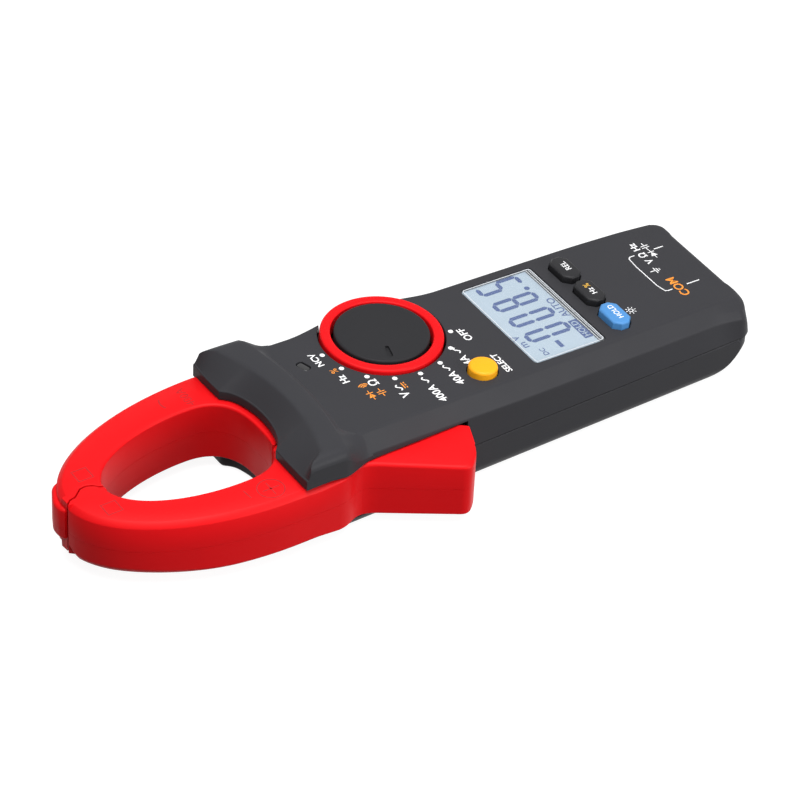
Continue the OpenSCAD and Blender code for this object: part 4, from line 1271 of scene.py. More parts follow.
class FrontCase:
    """The front shell: bevelled face, selector's collar and well, display window, key holes and hand guard."""

    # Points of the perimeter along a side, round a corner and along the tail.
    SIDE, CORNER, TAIL = 68, 17, 42

    def __init__(self, sizes: CaseSizes = CaseSizes()) -> None:
        """Takes the sizes."""
        self.s = sizes

    @staticmethod
    def face_z(y: np.ndarray) -> np.ndarray:
        """The face's height: it rises towards the jaws by the tilt's tangent."""
        return FACE_H + y * math.tan(TILT)

    def perimeter(self, shrink: float = 0.0) -> np.ndarray:
        """The wall's foot at the parting line, from the left end round the tail to the right end.

        The half width falls by the taper towards the tail; the tail's corners are arcs.

        Args:
            shrink: inward offset.

        Returns:
            The points.
        """
        s = self.s
        r = s.corner - shrink
        y0 = -s.tail + s.corner
        w = lambda y: s.half_w - shrink + y * s.taper
        y = np.linspace(s.end_y, y0, self.SIDE)
        left = np.stack([-w(y), y], axis=1)
        a = np.radians(np.linspace(180, 270, self.CORNER + 1)[1:])
        corner = np.stack([-(w(y0) - r) + r * np.cos(a), y0 + r * np.sin(a)], axis=1)
        half = np.vstack([left, corner])
        mirror = np.array([-1, 1])
        middle = np.linspace(half[-1], half[-1] * mirror, self.TAIL + 2)[1:-1]
        return np.vstack([half, middle, half[::-1] * mirror])

    def shell(self, name: str, shrink: float = 0.0, low: float = 14.0, arm: float = 1.2) -> Shape:
        """The solid under the face.

        Along the sides the wall leans in up to the crease and the bevel runs
        to the face's edge; round the tail's corners the crease eases down to
        the parting line, so that the tail's wall is upright and then rounds
        into the face, more tightly at the two corner caps than between them.
        Beside the selector the face widens smoothly towards its ring.

        Args:
            name: the solid.
            shrink: inward offset, for the cavity.
            low: the solid's lower level.
            arm: the roundings' size.

        Returns:
            The shape.
        """
        s = self.s
        base = self.perimeter(shrink)
        x, y = np.abs(base[:, 0]), base[:, 1]
        half = len(base) // 2
        side, end = self.SIDE, self.SIDE + self.CORNER
        quarter = np.linspace(0, 1, self.CORNER + 1)[1:]
        steps = np.concatenate([np.zeros(side), quarter, np.ones(half - end)])
        turn = smooth(np.concatenate([steps, steps[::-1]]))
        top = self.face_z(y) - shrink
        near = base[:, 0] < 0
        # The crease's depth under the face, a little less on the left, and how much further in it lies.
        drop = s.bevel_drop - np.where(near, 0.6 + 0.5 * np.clip((-20 - y) / 75, 0, 1), 0.0)
        narrow = np.where(near, 1.6 * np.clip((-25 - y) / 75, 0, 1), 0.7 * smooth((-68 - y) / 30)
                          + 1.3 * np.clip((-86 - y) / 16, 0, 1) ** 2)
        # The tail's corners, the caps beside the flat tail, and the face's widening beside the selector.
        swell = smooth((-91 - y) / 12)
        rise = top - drop - s.part_z
        lean = rise * s.lean + narrow
        cap = smooth((x - 16.6) / 1.4)
        flare = np.where(near, 0.0, s.flare * smooth((25.0 - np.abs(y)) / 21.0))

        def row(side_in: Amount, tail_in: Amount, r: float, z: Amount) -> np.ndarray:
            """The perimeter moved inwards by one amount at the sides and one at the tail, with its own corner size.

            Args:
                side_in: inward move at the sides.
                tail_in: inward move at the tail.
                r: the corners' size.
                z: the level.

            Returns:
                The row's points.
            """
            xy = base.copy()
            side_in, tail_in = np.broadcast_to(side_in, len(base)), np.broadcast_to(tail_in, len(base))
            a = np.radians(np.linspace(0, 90, self.CORNER + 1)[1:])
            for way in (slice(0, half), slice(-1, -half - 1, -1)):
                p, sign = xy[way], np.sign(base[way][0, 0])
                across, along = side_in[way], tail_in[way] + shrink - s.tail
                p[:side, 0] -= sign * across[:side]
                centre = abs(p[side - 1, 0]) - r
                p[end:, 0] *= centre / abs(p[end - 1, 0])
                p[side:end, 0] = sign * (centre + r * np.cos(a))
                p[side:end, 1] = np.minimum(along[side:end] + r * (1 - np.sin(a)), p[side - 1, 1])
                p[end:, 1] = along[end:]
            return np.column_stack([xy, np.broadcast_to(z, len(base))])
        tight = lambda r: max(r - shrink, 0.5)
        a = row(0, 0, s.corner - shrink, low)
        b = row(lean * (1 - 0.85 * swell), 0, tight(4.6), (1 - turn) * (top - drop) + turn * (s.part_z + 0.4))
        m = row((lean + s.bevel_run / 2 - 0.55 * flare) * (1 - 0.5 * swell), 0.35 + 0.3 * cap, tight(4.4),
                (1 - turn) * (top - drop / 2 - 0.4 * swell) + turn * (top - 2.4 + 0.3 * cap))
        c = row(lean + s.bevel_run - flare, 2.4 - 0.4 * cap, tight(3.8), top)
        d = row(lean + s.bevel_run - flare + 1.6, 4.0 - 0.4 * cap, tight(3.0), top)
        for ring in (c, d):
            ring[:, 2] = self.face_z(ring[:, 1]) - shrink
        arm = arm * (0.45 + 0.55 * turn)
        foot = [row(0.7, 0.7, s.corner - 0.7, low), row(0.7, 0.7, s.corner - 0.7, low + 0.2),
                row(0, 0, s.corner, low + 0.2)] if shrink == 0 else [a]
        rows = np.concatenate([np.stack(foot), bend(a, b, m, arm), bend(b, m, c, arm), bend(m, c, d, arm), d[None]])
        shape = Shape(name)
        shape.grid(rows, wrap=False)
        shape.cap(rows[0])
        shape.cap(rows[-1])
        shape.cap(np.vstack([rows[:, 0], rows[::-1, -1]]))
        return shape

    def guard(self) -> Shape:
        """The hand guard: a crest across the case that falls in front to a hollowed edge over the jaws.

        Each column runs from the foot up a concave fillet, over a crest band
        and down the front slope to the front edge. The crest follows an arc
        in plan. Near both ends every column sinks by a quarter circle, the
        crest runs forward to the front corner and the sides fall upright.

        Returns:
            The shape.
        """
        s, g = self.s, GuardSizes()
        half, roll, bottom = g.half_w, g.roll, g.bottom
        ends = 0.05 * (1 - np.cos(np.linspace(0, math.pi / 2, 6)))
        u = np.concatenate([-1 + ends, np.linspace(-0.94, 0.94, 67), (1 - ends)[::-1]])
        x = u * half
        out = np.clip(np.abs(x) - (half - roll), 0, roll - 0.03)
        sink = roll - np.sqrt(roll ** 2 - out ** 2)
        # Where the front edge is hollowed over the jaws, and the stretch near both ends.
        hollow = np.clip(1 - ((x - g.hollow_x) / g.hollow_half_w) ** 2, 0, 1) ** 0.62
        front = g.front_y + 0.4 * smooth((x - 10) / 12) - g.hollow * hollow
        ending = smooth((np.abs(x) - 25.2) / 4.2)
        crest = g.crest_z - sink
        bow = g.crest_y + 0.03 * x + g.bow_r - np.sqrt(g.bow_r ** 2 - x ** 2)
        crest_y = (1 - ending) * bow + ending * g.crest_end_y
        front_z = g.front_z + 0.4 * ending
        band_y = g.band_y + 0.0049 * x ** 2
        foot_x = u * g.foot_half_w
        foot_y = band_y - 2.7 - 0.0012 * x ** 2 - 6.5 * smooth((np.abs(x) - 19) / 8)
        band_z = crest - g.band_drop
        rows = []

        def row(t: np.ndarray | float, y: np.ndarray, z: np.ndarray) -> None:
            """Adds a row whose width goes from the foot's to the crest's as t goes from 0 to 1."""
            rows.append(np.stack([foot_x + (x - foot_x) * t, y, z], axis=1))
        row(0.0, foot_y - 1.0, np.full_like(x, bottom))
        for t in np.linspace(0, 1, 13):
            y = foot_y + (band_y - foot_y) * t
            # The bevel's skin under the fillet, as the shell has it.
            top = self.face_z(y)
            edge = s.half_w + y * s.taper - (top - s.bevel_drop + 0.6 - s.part_z) * s.lean - s.bevel_run
            over = np.maximum(np.abs(foot_x + (x - foot_x) * 0.94 * smooth(t)) - edge, 0)
            skin = top - over * (s.bevel_drop - 0.6) / s.bevel_run - 0.12
            lift = 0.3 * t * t + 0.7 * smooth(t)
            row(0.94 * smooth(t), y, np.maximum(skin + (band_z - skin) * lift, bottom + 0.1))
        for t in (0.2, 0.45, 0.7, 0.86, 0.95):
            row(0.94 + 0.06 * t, band_y + (crest_y - band_y) * t, band_z + (crest - band_z) * math.sin(t * math.pi / 2))
        for t in (0.03, 0.1, 0.25, 0.45, 0.65, 0.88):
            row(1.0, crest_y + (front - g.front_r - crest_y) * t, crest + (front_z - crest) * (0.85 * t + 0.15 * t * t))
        for a in np.linspace(0.15, math.pi / 2, 5):
            row(1.0, front - g.front_r + g.front_r * np.sin(a), front_z - g.front_r + g.front_r * np.cos(a))
        row(1.0, front, np.full_like(x, g.front_wall_z))
        row(1.0, front, np.full_like(x, bottom))
        block = np.stack(rows).transpose(1, 0, 2)
        low = block[[0, -1]].copy()
        low[:, :, 2] = bottom
        block = np.concatenate([low[:1], block, low[1:]])
        shape = Shape("guard")
        shape.grid(block, wrap=True)
        shape.cap(block[0])
        shape.cap(block[-1])
        return shape

    def cutters(self) -> list[bpy.types.Object]:
        """Everything that is cut out of the shell.

        Returns:
            The tools, as closed solids.
        """
        s = self.s
        window = np.array([(-32, -4.1), (-21.1, -4.1), (-21.1, 40), (-32, 40)], float)
        steps = np.array([28.0, 36.0, 38.0, 40.0, 42.0, 44.0, 60.0])
        sides = [np.column_stack([np.full(7, x), y]) for x, y in ((24.1, steps), (-32.0, steps[::-1]))]
        roof = lambda p: 23.0 + 0.9 * smooth((p[:, 1] - 36) / 8)
        tools = [self.shell("cavity", s.wall, 13.0, 0.4), solid("trigger window", [window], 12.0, 23.1),
                 solid("jaw end", [np.vstack(sides)], 12.0, roof)]

        def hole(name: str, loop: np.ndarray, at: tuple[float, float], low: float, lip: float = 0.3) -> None:
            """A hole through the face with a softened upper rim.

            Args:
                name: the tool's name.
                loop: the hole's outline about its middle.
                at: the middle on the face.
                low: the hole's lower level.
                lip: the rim's softening.
            """
            shape = Shape(name, on_face)
            placed = loop + np.array(at)
            rows = [(0.0, low), (0.0, -lip), (-lip * 0.3, -lip * 0.3), (-lip, 0.02), (-lip, 3.0)]
            grid = np.stack([np.column_stack([inset(placed, a), np.full(len(placed), h)]) for a, h in rows])
            shape.grid(grid)
            shape.fill([grid[0]])
            shape.fill([grid[-1]])
            tools.append(shape)
        hole("well", circle(0, 0, s.well_r, 96), DIAL_AT, -s.well_depth, 0.35)
        hole("hub", circle(0, 0, 8.08, 64), DIAL_AT, -12.0, 0.0)
        hole("recess", box_loop(38.4, 24.4, 1.2), DISPLAY_AT, -1.25, 0.2)
        hole("aperture", box_loop(36.4, 22.4, 0.8), DISPLAY_AT, -6.0, 0.0)
        for x in (-KEY_STEP, 0.0, KEY_STEP):
            hole("key", box_loop(Keys.SIZE[0] + s.key_gap, Keys.SIZE[1] + s.key_gap, 2.0, cut=True), (x, KEY_Y), -8.0)
        hole("round key", circle(0, 0, 4.45, 40), SELECT_AT, -8.0)
        hole("lamp", turned(box_loop(4.4, 2.6, 1.0), LAMP_TURN), LAMP_AT, -8.0, 0.1)
        along_y = lambda p: np.stack([p[:, 0], p[:, 2], p[:, 1]], axis=1)
        tools += [solid("jack", [circle(x, s.jack_z, 5.55, 48)], -110.0, -88.0, place=along_y)
                  for x in (-s.jack_x, s.jack_x)]
        return [tool.tool() for tool in tools]

    def build(self) -> bpy.types.Object:
        """Makes the front shell.

        Returns:
            The shell.
        """
        case = self.shell("front_case_shell").tool()
        combine(case, [self.guard().tool()], "UNION")
        combine(case, self.cutters())
        outside, within = (self.perimeter(depth) for depth in (0.12, 0.9))
        shown = (outside[:, 0] > 0) | (outside[:, 1] < -4.6)
        loop = np.vstack([outside[shown], within[shown][::-1]])
        solid("case_seam", [loop], 13.83, 14.17).build(F.BLACK, Body.METER, "part_black")
        return dress(case, F.GREY, Body.METER, "body_grey", ["front_case"], 28.0, True)


class RearCase:
    """The rear shell: sides that round into the flat back, a tail that sweeps up to the parting line."""

    def __init__(self, sizes: CaseSizes = CaseSizes()) -> None:
        """Takes the sizes."""
        self.s = sizes

    def ring(self, z: float, shrink: float = 0.0) -> np.ndarray:
        """The shell's outline at one height.

        The sides follow a quarter circle into the back; the tail follows a
        quarter ellipse, and its corners widen as it goes.

        Args:
            z: the height above the back.
            shrink: inward offset.

        Returns:
            The loop, counter-clockwise.
        """
        s = self.s
        up = np.clip((z - shrink) / (s.part_z - shrink), 0, 1)
        low = np.clip(1 - (z - shrink) / (s.base_round - shrink * 0.5), 0, 1)
        side_in = shrink + (s.base_round - shrink * 0.5) * (1 - math.sqrt(1 - low ** 2))
        sweep = 1 - math.sqrt(max(1 - (1 - up) ** 2, 0.0))
        tail = -s.tail + shrink + s.tail_rise * sweep
        r = s.corner - shrink * 0.6 + 9.0 * sweep ** 0.8
        y0 = tail + r
        w = lambda y: s.half_w + y * s.taper - side_in
        a = np.radians(np.linspace(180, 270, 19))
        corner = np.stack([-(w(y0) - r) + r * np.cos(a), y0 + r * np.sin(a)], axis=1)
        left = np.stack([-w(np.linspace(s.end_y, y0, 12)), np.linspace(s.end_y, y0, 12)], axis=1)[:-1]
        half = np.vstack([left, corner])
        return np.vstack([half, half[::-1] * np.array([-1, 1])])

    def form(self, shrink: float) -> Shape:
        """A solid from the back up to the parting line, with a fine groove there.

        Args:
            shrink: inward offset, for the cavity.

        Returns:
            The solid's shape.
        """
        s = self.s
        heights = shrink + (s.part_z - shrink) * (1 - np.cos(np.linspace(0, math.pi / 2, 15)))
        rows = [np.column_stack([self.ring(z, shrink), np.full(60, z)]) for z in heights]
        rows[-1][:, 2] -= 0.2
        groove = inset(rows[-1][:, :2], 0.7)
        rows += [np.column_stack([groove, np.full(60, z)]) for z in (s.part_z - 0.2, s.part_z - 0.01)]
        shape = Shape("form")
        block = np.stack(rows)
        shape.grid(block)
        shape.cap(block[0])
        shape.cap(block[-1])
        return shape

    def build(self) -> bpy.types.Object:
        """Makes the rear shell: the CAD node's inside with this outside.

        Returns:
            The shell.
        """
        shell = merged_copy("rear_case", "rear_case_shell")
        form = self.form(0.03).tool()
        loop = rounded([(22.45, 27.0, 0), (22.45, 50.4, 2.5), (14.6, 50.4, 1.0), (12.2, 47.6, 2.0), (6.5, 45.8, 4.0),
                        (0.6, 45.5, 4.0), (-6.0, 46.3, 4.0), (-11.0, 48.6, 3.0), (-13.6, 50.4, 1.0),
                        (-22.45, 50.4, 2.5), (-22.45, 27.0, 0)], 5)
        tongue = solid("tongue", [loop], 0.03, 4.47, Edge(1.2, 1.6), Edge(0.3))
        corners = [(-23.0, -100.0), (23.0, -100.0), (23.0, 35.0), (-23.0, 35.0)]
        inside = solid("inside", [np.array(corners)], 8.0, 24.0)
        combine(form, [tongue.tool(), inside.tool()], "UNION")
        combine(shell, [form], "INTERSECT")
        return dress(shell, F.GREY, Body.METER, "body_grey", ["rear_case"], 30.0, True)


# ---------------------------------------------------------------- parts that keep the frame's form


def merged_copy(node: str, name: str) -> bpy.types.Object:
    """A copy of a CAD node with its doubled points merged and its flat areas joined.

    Args:
        node: the CAD node.
        name: the copy's name.

    Returns:
        The copy.
    """
    mesh = frame["nodes"][node].data.copy()
    mesh.name = name
    bm = bmesh.new()
    bm.from_mesh(mesh)
    bmesh.ops.remove_doubles(bm, verts=bm.verts, dist=2e-6)
    bmesh.ops.dissolve_limit(bm, angle_limit=math.radians(0.3), verts=bm.verts, edges=bm.edges)
    bmesh.ops.recalc_face_normals(bm, faces=bm.faces)
    bm.to_mesh(mesh)
    bm.free()
    obj = bpy.data.objects.new(name, mesh)
    bpy.context.scene.collection.objects.link(obj)
    return obj


@dataclass(frozen=True)
class Screws:
    """Screws that keep the frame's form, with a cross recess in each head and a softened rim."""

    node: str
    body: Body
    places: tuple[tuple[float, float], ...]
    under: float
    arm: float = 1.5
    slot: float = 0.62

    def build(self) -> bpy.types.Object:
        """Makes the screws; the heads' undersides are at one height and the recesses point up.

        Returns:
            The screws, as one piece.
        """
        obj = merged_copy(self.node, self.node + "_crossed")
        tools = []
        for x, y in self.places:
            for w, d in ((2 * self.arm, self.slot), (self.slot, 2 * self.arm)):
                loop = box_loop(w, d) + np.array([x, y])
                tools.append(solid("slot", [loop], self.under - 1.0, self.under + 0.9).tool())
        combine(obj, tools)
        bevel = obj.modifiers.new("rims", "BEVEL")
        bevel.width, bevel.segments = 0.16 * MM, 2
        bevel.limit_method, bevel.angle_limit = "ANGLE", math.radians(50)
        return dress(obj, F.STEEL, self.body, "steel", [self.node], 35.0)


class BatteryCover:
    """The battery cover: a thin lid with rounded rims, a screw seat and grip grooves."""

    SIZE = (38.0, 58.7)
    MIDDLE_Y = (-85.7 - 27.0) / 2
    SCREW_Y = -30.6
    GROOVE_Y, GROOVE_STEP = -78.0, 1.9

    def build(self) -> bpy.types.Object:
        """Makes the lid.

        Returns:
            The lid.
        """
        lid = box_loop(*self.SIZE, 1.0) + np.array([0, self.MIDDLE_Y])
        obj = solid("battery_cover_lid", [lid], 0.2, 2.0, Edge(0.35), Edge(0.1, 2.0, 1)).tool()
        cuts = [("head seat", circle(0, self.SCREW_Y, 2.7, 40), 1.2), ("shaft", circle(0, self.SCREW_Y, 1.35, 32), 3.0)]
        groove = box_loop(16.0, 0.9, 0.44)
        cuts += [("groove", groove + np.array([0, self.GROOVE_Y + self.GROOVE_STEP * k]), 0.62) for k in range(6)]
        combine(obj, [solid(name, [loop], -1.0, top).tool() for name, loop, top in cuts])
        return dress(obj, F.GREY, Body.COVER, "body_grey", ["battery_cover"], 30.0, True)


# ---------------------------------------------------------------- selector, keys and display


class Selector:
    """The red thumb ring and the grey disc with its pointer."""

    OUTER_R, INNER_R, DISC_R = 17.55, 14.5, 13.6

    def ring(self) -> None:
        """The ring: a turned profile with rounded rims."""
        outer = [(self.OUTER_R - i, 1.0 - d) for i, d in Edge(0.8, 2.0, 5).rows()]
        inner = [(self.INNER_R + i, 1.0 - d) for i, d in Edge(0.6, 2.0, 4).rows()][::-1]
        rims = [(float(r.flat[0]), float(h.flat[0])) for r, h in outer + inner]
        foot = (self.OUTER_R, DIAL_FOOT)
        shape = Shape("selector_ring", on_face)
        shape.lathe(np.array([foot, *rims, (self.INNER_R, DIAL_FOOT), foot]), 144, DIAL_AT)
        shape.build(F.RED, Body.SELECTOR, "jaw_red", ["dial_ring"])

    def disc(self) -> None:
        """The disc, with a drop-shaped pointer pressed into its top."""
        loop = circle(*DIAL_AT, self.DISC_R, 120)
        obj = solid("selector_disc", [loop], DIAL_FOOT, 1.3, Edge(), Edge(0.7, 2.0, 5), on_face).tool()
        drop = rounded([(0.7, 4.3, 0.8), (0.9, 3.2, 0.8), (5.4, 2.0, 0.4), (6.0, 2.9, 0.5), (1.9, 5.0, 0.9)], 5)
        combine(obj, [solid("pointer", [drop], 0.6, 3.0, Edge(0.12, 2.0, 2), place=on_face).tool()])
        dress(obj, F.DISC, Body.SELECTOR, "dial_grey", ["dial_disc"], 30.0, True)

    def build(self) -> None:
        """Makes the selector's pieces."""
        self.ring()
        self.disc()


class Keys:
    """The four press keys with rounded rims and their printed words."""

    SIZE = (10.6, 6.2)
    ROW = ((Body.REL, KEY_STEP, "REL", F.BLACK_KEY, "key_black", "button_rel"),
           (Body.HZ, 0.0, "Hz", F.BLACK_KEY, "key_black", "button_hz"),
           (Body.HOLD, -KEY_STEP, "HOLD", F.BLUE_KEY, "key_blue", "button_hold"))

    def build(self) -> None:
        """Makes the keys and their words."""
        for body, x, word, finish, slot, node in self.ROW:
            loop = box_loop(*self.SIZE, 1.9, cut=True) + np.array([x, KEY_Y])
            cap = solid(node + "_cap", [loop], KEY_FOOT, KEY_TOP, Edge(), Edge(0.75, 2.0, 5), on_face)
            cap.build(finish, body, slot, [node])
            ink = Shape(node + "_word", shifted(on_face, 0, 0, KEY_TOP))
            if body is Body.HZ:
                ink.add(*text_mesh(word, 2.6, (x - 0.9, -63.5), weight=0.02))
                percent = Shape(node + "_percent", shifted(on_face, 0, 0, KEY_TOP))
                percent.add(*text_mesh("%", 2.7, (x + 2.0, -63.5)))
                percent.build(F.AMBER, body, "key_yellow")
            else:
                ink.add(*text_mesh(word, 2.4 if body is Body.HOLD else 2.6, (x + 0.3, -63.6), weight=0.02))
            ink.build(F.INK, body, "frame_white")
        loop = circle(*SELECT_AT, 4.2, 60)
        cap = solid("button_select_cap", [loop], KEY_FOOT, KEY_TOP, Edge(), Edge(0.9, 2.0, 5), on_face)
        cap.build(F.YELLOW_KEY, Body.SELECT, "key_yellow", ["button_select"])


class Display:
    """The clear window, the glass behind it and what it shows."""

    SEGMENTS = {"0": "abcdef", "5": "acdfg", "8": "abcdefg"}
    PANEL_H = -0.7
    # Heights of the pale edge lines, which are painted reflections.
    REFLECTION_H = (-0.09, -0.05)

    def window(self) -> None:
        """The window: a thin clear plate with rounded rims, pale lines at its edges that are painted reflections, and
        the display glass under it with its painted glow.
        """
        middle = np.array(DISPLAY_AT)
        loop = box_loop(37.8, 23.8, 0.8) + middle
        # The panel takes the display glass's glow, which is painted light.
        panel = solid("display_panel", [loop], -1.2, self.PANEL_H, Edge(), Edge(0.05, 2.0, 1), on_face)
        panel.build(F.LCD, Body.METER, "display_glass")
        loop = box_loop(37.6, 1.5, 0.1) + middle + np.array([0, -11.1])
        band = solid("display_border", [loop], self.PANEL_H, self.PANEL_H + 0.03, place=on_face)
        band.build(F.SMOKE, Body.METER, "part_black")
        # A pale line round the window and two along its lower edge: painted reflections of the plate's edges.
        frames = [box_loop(37.5, 23.5, 0.9) + middle, (box_loop(37.0, 23.0, 0.7) + middle)[::-1]]
        lines = solid("window_painted_reflection", frames, *self.REFLECTION_H, place=on_face)
        for y in (-10.25, -11.1):
            lines.prism([box_loop(36.8, 0.18) + middle + np.array([0, y])], *self.REFLECTION_H)
        lines.build(F.PAINTED_REFLECTION, Body.METER, "window_clear")
        loop = box_loop(38.2, 24.2, 1.2) + middle
        plate = solid("window_plate", [loop], -0.5, -0.1, Edge(), Edge(0.25, 2.0, 3), on_face)
        plate.build(F.LENS, Body.METER, "window_clear", ["lens_window"])

    def digit(self, shape: Shape, char: str, x: float, y: float, w: float, h: float, t: float) -> None:
        """One seven-segment digit: six-cornered bars with small gaps.

        Args:
            shape: takes the bars.
            char: the digit.
            x, y: its middle.
            w, h: its size.
            t: the bars' thickness.
        """
        w, h = w - t, h - t
        ends = {"a": ((-w / 2, h / 2), (w / 2, h / 2)), "b": ((w / 2, h / 2), (w / 2, 0)),
                "c": ((w / 2, 0), (w / 2, -h / 2)), "d": ((-w / 2, -h / 2), (w / 2, -h / 2)),
                "e": ((-w / 2, 0), (-w / 2, -h / 2)), "f": ((-w / 2, h / 2), (-w / 2, 0)),
                "g": ((-w / 2, 0), (w / 2, 0))}
        for name in self.SEGMENTS[char]:
            a, b = (np.array(p) + np.array([x, y]) for p in ends[name])
            along = (b - a) / np.linalg.norm(b - a)
            across = np.array([-along[1], along[0]]) * t / 2
            a, b = a + along * 0.1, b - along * 0.1
            bar = np.array([a, a + along * t / 2 - across, b - along * t / 2 - across, b,
                            b - along * t / 2 + across, a + along * t / 2 + across])
            shape.prism([bar], 0.0, PRINT_H)

    def shown(self) -> None:
        """What the display shows: a reading and its small words."""
        place = shifted(on_face, 0.6, -0.42, self.PANEL_H)
        shape = Shape("display_segments", place)
        for char, x in (("0", -8.6), ("0", -0.8), ("8", 7.3), ("5", 15.7)):
            self.digit(shape, char, x, -42.7, 4.9, 14.8, 1.35)
        shape.prism([circle(11.2, -49.3, 0.85, 16)], 0.0, PRINT_H)
        shape.prism([stroke([(-16.3, -42.6), (-13.0, -42.6)], 1.35)[0]], 0.0, PRINT_H)
        shape.prism([box_loop(8.9, 2.9, 0.2) + np.array([-11.7, -52.0])], 0.0, PRINT_H)
        for words, size, x, y in (("AUTO", 3.3, -0.4, -52.1), ("V", 3.6, -7.0, -32.9), ("m", 3.6, -10.6, -33.3),
                                  ("DC", 2.3, -15.7, -36.7)):
            shape.add(*text_mesh(words, size, (x, y), weight=0.03, wide=1.05))
        shape.build(F.SEGMENT, Body.METER, "display_glass")
        # The light words glow like the display glass: painted light.
        light = Shape("display_words", shifted(place, 0, 0, PRINT_H))
        light.add(*text_mesh("HOLD", 2.8, (-11.7, -52.0), weight=0.0))
        light.build(F.LCD, Body.METER, "display_glass")

    def build(self) -> None:
        """Makes the display's pieces."""
        self.window()
        self.shown()
        loop = turned(box_loop(4.2, 2.4, 0.95), LAMP_TURN) + np.array(LAMP_AT)
        lamp = solid("lamp_window_lens", [loop], -1.4, -0.25, Edge(), Edge(0.4, 2.0, 4), on_face)
        lamp.build(F.SMOKE, Body.METER, "window_clear", ["lamp_window"])


class Print:
    """The white and orange print on the face."""

    DOTS_R = 19.75
    SUN_AT = (-11.5, -69.6)

    def __init__(self) -> None:
        """Starts both inks' shapes."""
        self.white = Shape("face_print_white", on_face)
        self.orange = Shape("face_print_orange", on_face)

    def words(self, shape: Shape, text: str, x: float, y: float, size: float, weight: float = 0.055) -> None:
        """Adds letters centred on a point, just over the face."""
        shape.add(*text_mesh(text, size, (x, y), weight=weight))

    def line(self, shape: Shape, points: Sequence[Sequence[float]], width: float = 0.35, closed: bool = False) -> None:
        """Adds a line just over the face."""
        shape.prism(stroke(points, width, closed), 0.0, PRINT_H)

    def wave(self, shape: Shape, x: float, y: float) -> None:
        """Adds a sine wave of one period, the sign for alternating current."""
        t = np.linspace(-1, 1, 15)
        self.line(shape, np.column_stack([x + t * 2.7 / 2, y + 0.62 * np.sin(t * math.pi)]), 0.4)

    def capacitor(self, shape: Shape, x: float, y: float) -> None:
        """Adds a capacitor's sign: two plates and two leads.

        Args:
            shape: the print that takes it.
            x: its middle across the face.
            y: its middle along the face.
        """
        for side in (-1, 1):
            plate = np.array([(side * 0.42, -1.25), (side * 0.42, 1.25)])
            lead = np.array([(side * 0.42, 0.0), (side * 1.8, 0.0)])
            for p in (plate, lead):
                self.line(shape, p + np.array([x, y]), 0.27)

    def diode(self, shape: Shape, x: float, y: float) -> None:
        """Adds a diode's sign: a triangle, a bar and two leads.

        Args:
            shape: the print that takes it.
            x: its middle across the face.
            y: its middle along the face.
        """
        shape.prism([np.array([(x - 0.9, y - 1.05), (x + 0.85, y), (x - 0.9, y + 1.05)])], 0.0, PRINT_H)
        self.line(shape, [(x + 1.02, y - 1.1), (x + 1.02, y + 1.1)], 0.28)
        self.line(shape, [(x - 2.1, y), (x + 2.2, y)], 0.25)

    def build(self) -> None:
        """Makes the print's pieces."""
        w, o = self.white, self.orange
        for k in range(8):
            a = math.radians(90 + 22.5 * k)
            x, y = DIAL_AT[0] + self.DOTS_R * math.cos(a), DIAL_AT[1] + self.DOTS_R * math.sin(a)
            w.prism([circle(x, y, 0.74, 20)], 0.0, PRINT_H)
        for text, x, y, size in (("NCV", 10.6, 22.4, 2.9), ("Hz", -0.2, 20.3, 3.2), ("Ω", -5.2, 13.7, 3.8),
                                 ("V", -13.8, 8.8, 3.8), ("400A", -17.6, 0.6, 3.5), ("40A", -14.3, -7.9, 3.5),
                                 ("4A", -8.8, -14.7, 3.5), ("OFF", 1.2, -21.1, 3.3), ("SELECT", -14.4, -22.9, 2.7),
                                 ("V", 5.3, -88.6, 3.2), ("Ω", 8.7, -88.6, 3.2), ("Hz", 12.9, -88.6, 3.2)):
            self.words(w, text, x, y, size)
        self.words(o, "%", 4.2, 20.6, 3.0, 0.0)
        self.words(o, "COM", -8.5, -88.8, 4.0)
        for x, y in ((-10.5, 8.8), (-11.0, 0.5), (-9.2, -7.8), (-3.9, -14.9)):
            self.wave(w, x, y)
        self.line(o, [(-11.5, 7.3), (-8.9, 7.3)], 0.34)
        for k in range(3):
            self.line(o, [(-11.5 + k, 6.5), (-10.9 + k, 6.5)], 0.34)
        self.diode(o, -9.8, 17.4)
        self.capacitor(o, -9.9, 14.2)
        for r in (0.7, 1.3, 1.9):
            self.line(o, arc(-6.3, 17.1, r, -50, 50, 7), 0.3)
        self.capacitor(w, 11.8, -91.5)
        self.diode(w, 7.9, -91.6)
        self.line(w, [(9.6, -93.2), (9.6, -96.4)])
        self.line(w, [(-8.7, -91.6), (-8.7, -96.0)])
        self.line(w, [(9.6, -86.2), (9.6, -84.6), (9.0, -83.8), (5.0, -83.4),
                      (-5.4, -83.4), (-8.4, -84.0), (-8.8, -84.8), (-8.8, -86.4)], 0.3)
        for i, half in enumerate((1.3, 0.85, 0.4)):
            self.line(w, [(0.9 - half, -87.4 - 0.7 * i), (0.9 + half, -87.4 - 0.7 * i)], 0.3)
        self.line(w, [(0.9, -85.6), (0.9, -87.4)], 0.3)
        sun = self.SUN_AT
        self.line(w, arc(*sun, 0.65, 0, 345, 17)[:-1], 0.25, True)
        for k in range(8):
            a = math.radians(45 * k)
            self.line(w, [(sun[0] + r * math.cos(a), sun[1] + r * math.sin(a)) for r in (1.05, 1.6)], 0.25)
        w.build(F.INK, Body.METER, "frame_white")
        o.build(F.ORANGE, Body.METER, "key_yellow")


# ---------------------------------------------------------------- stage


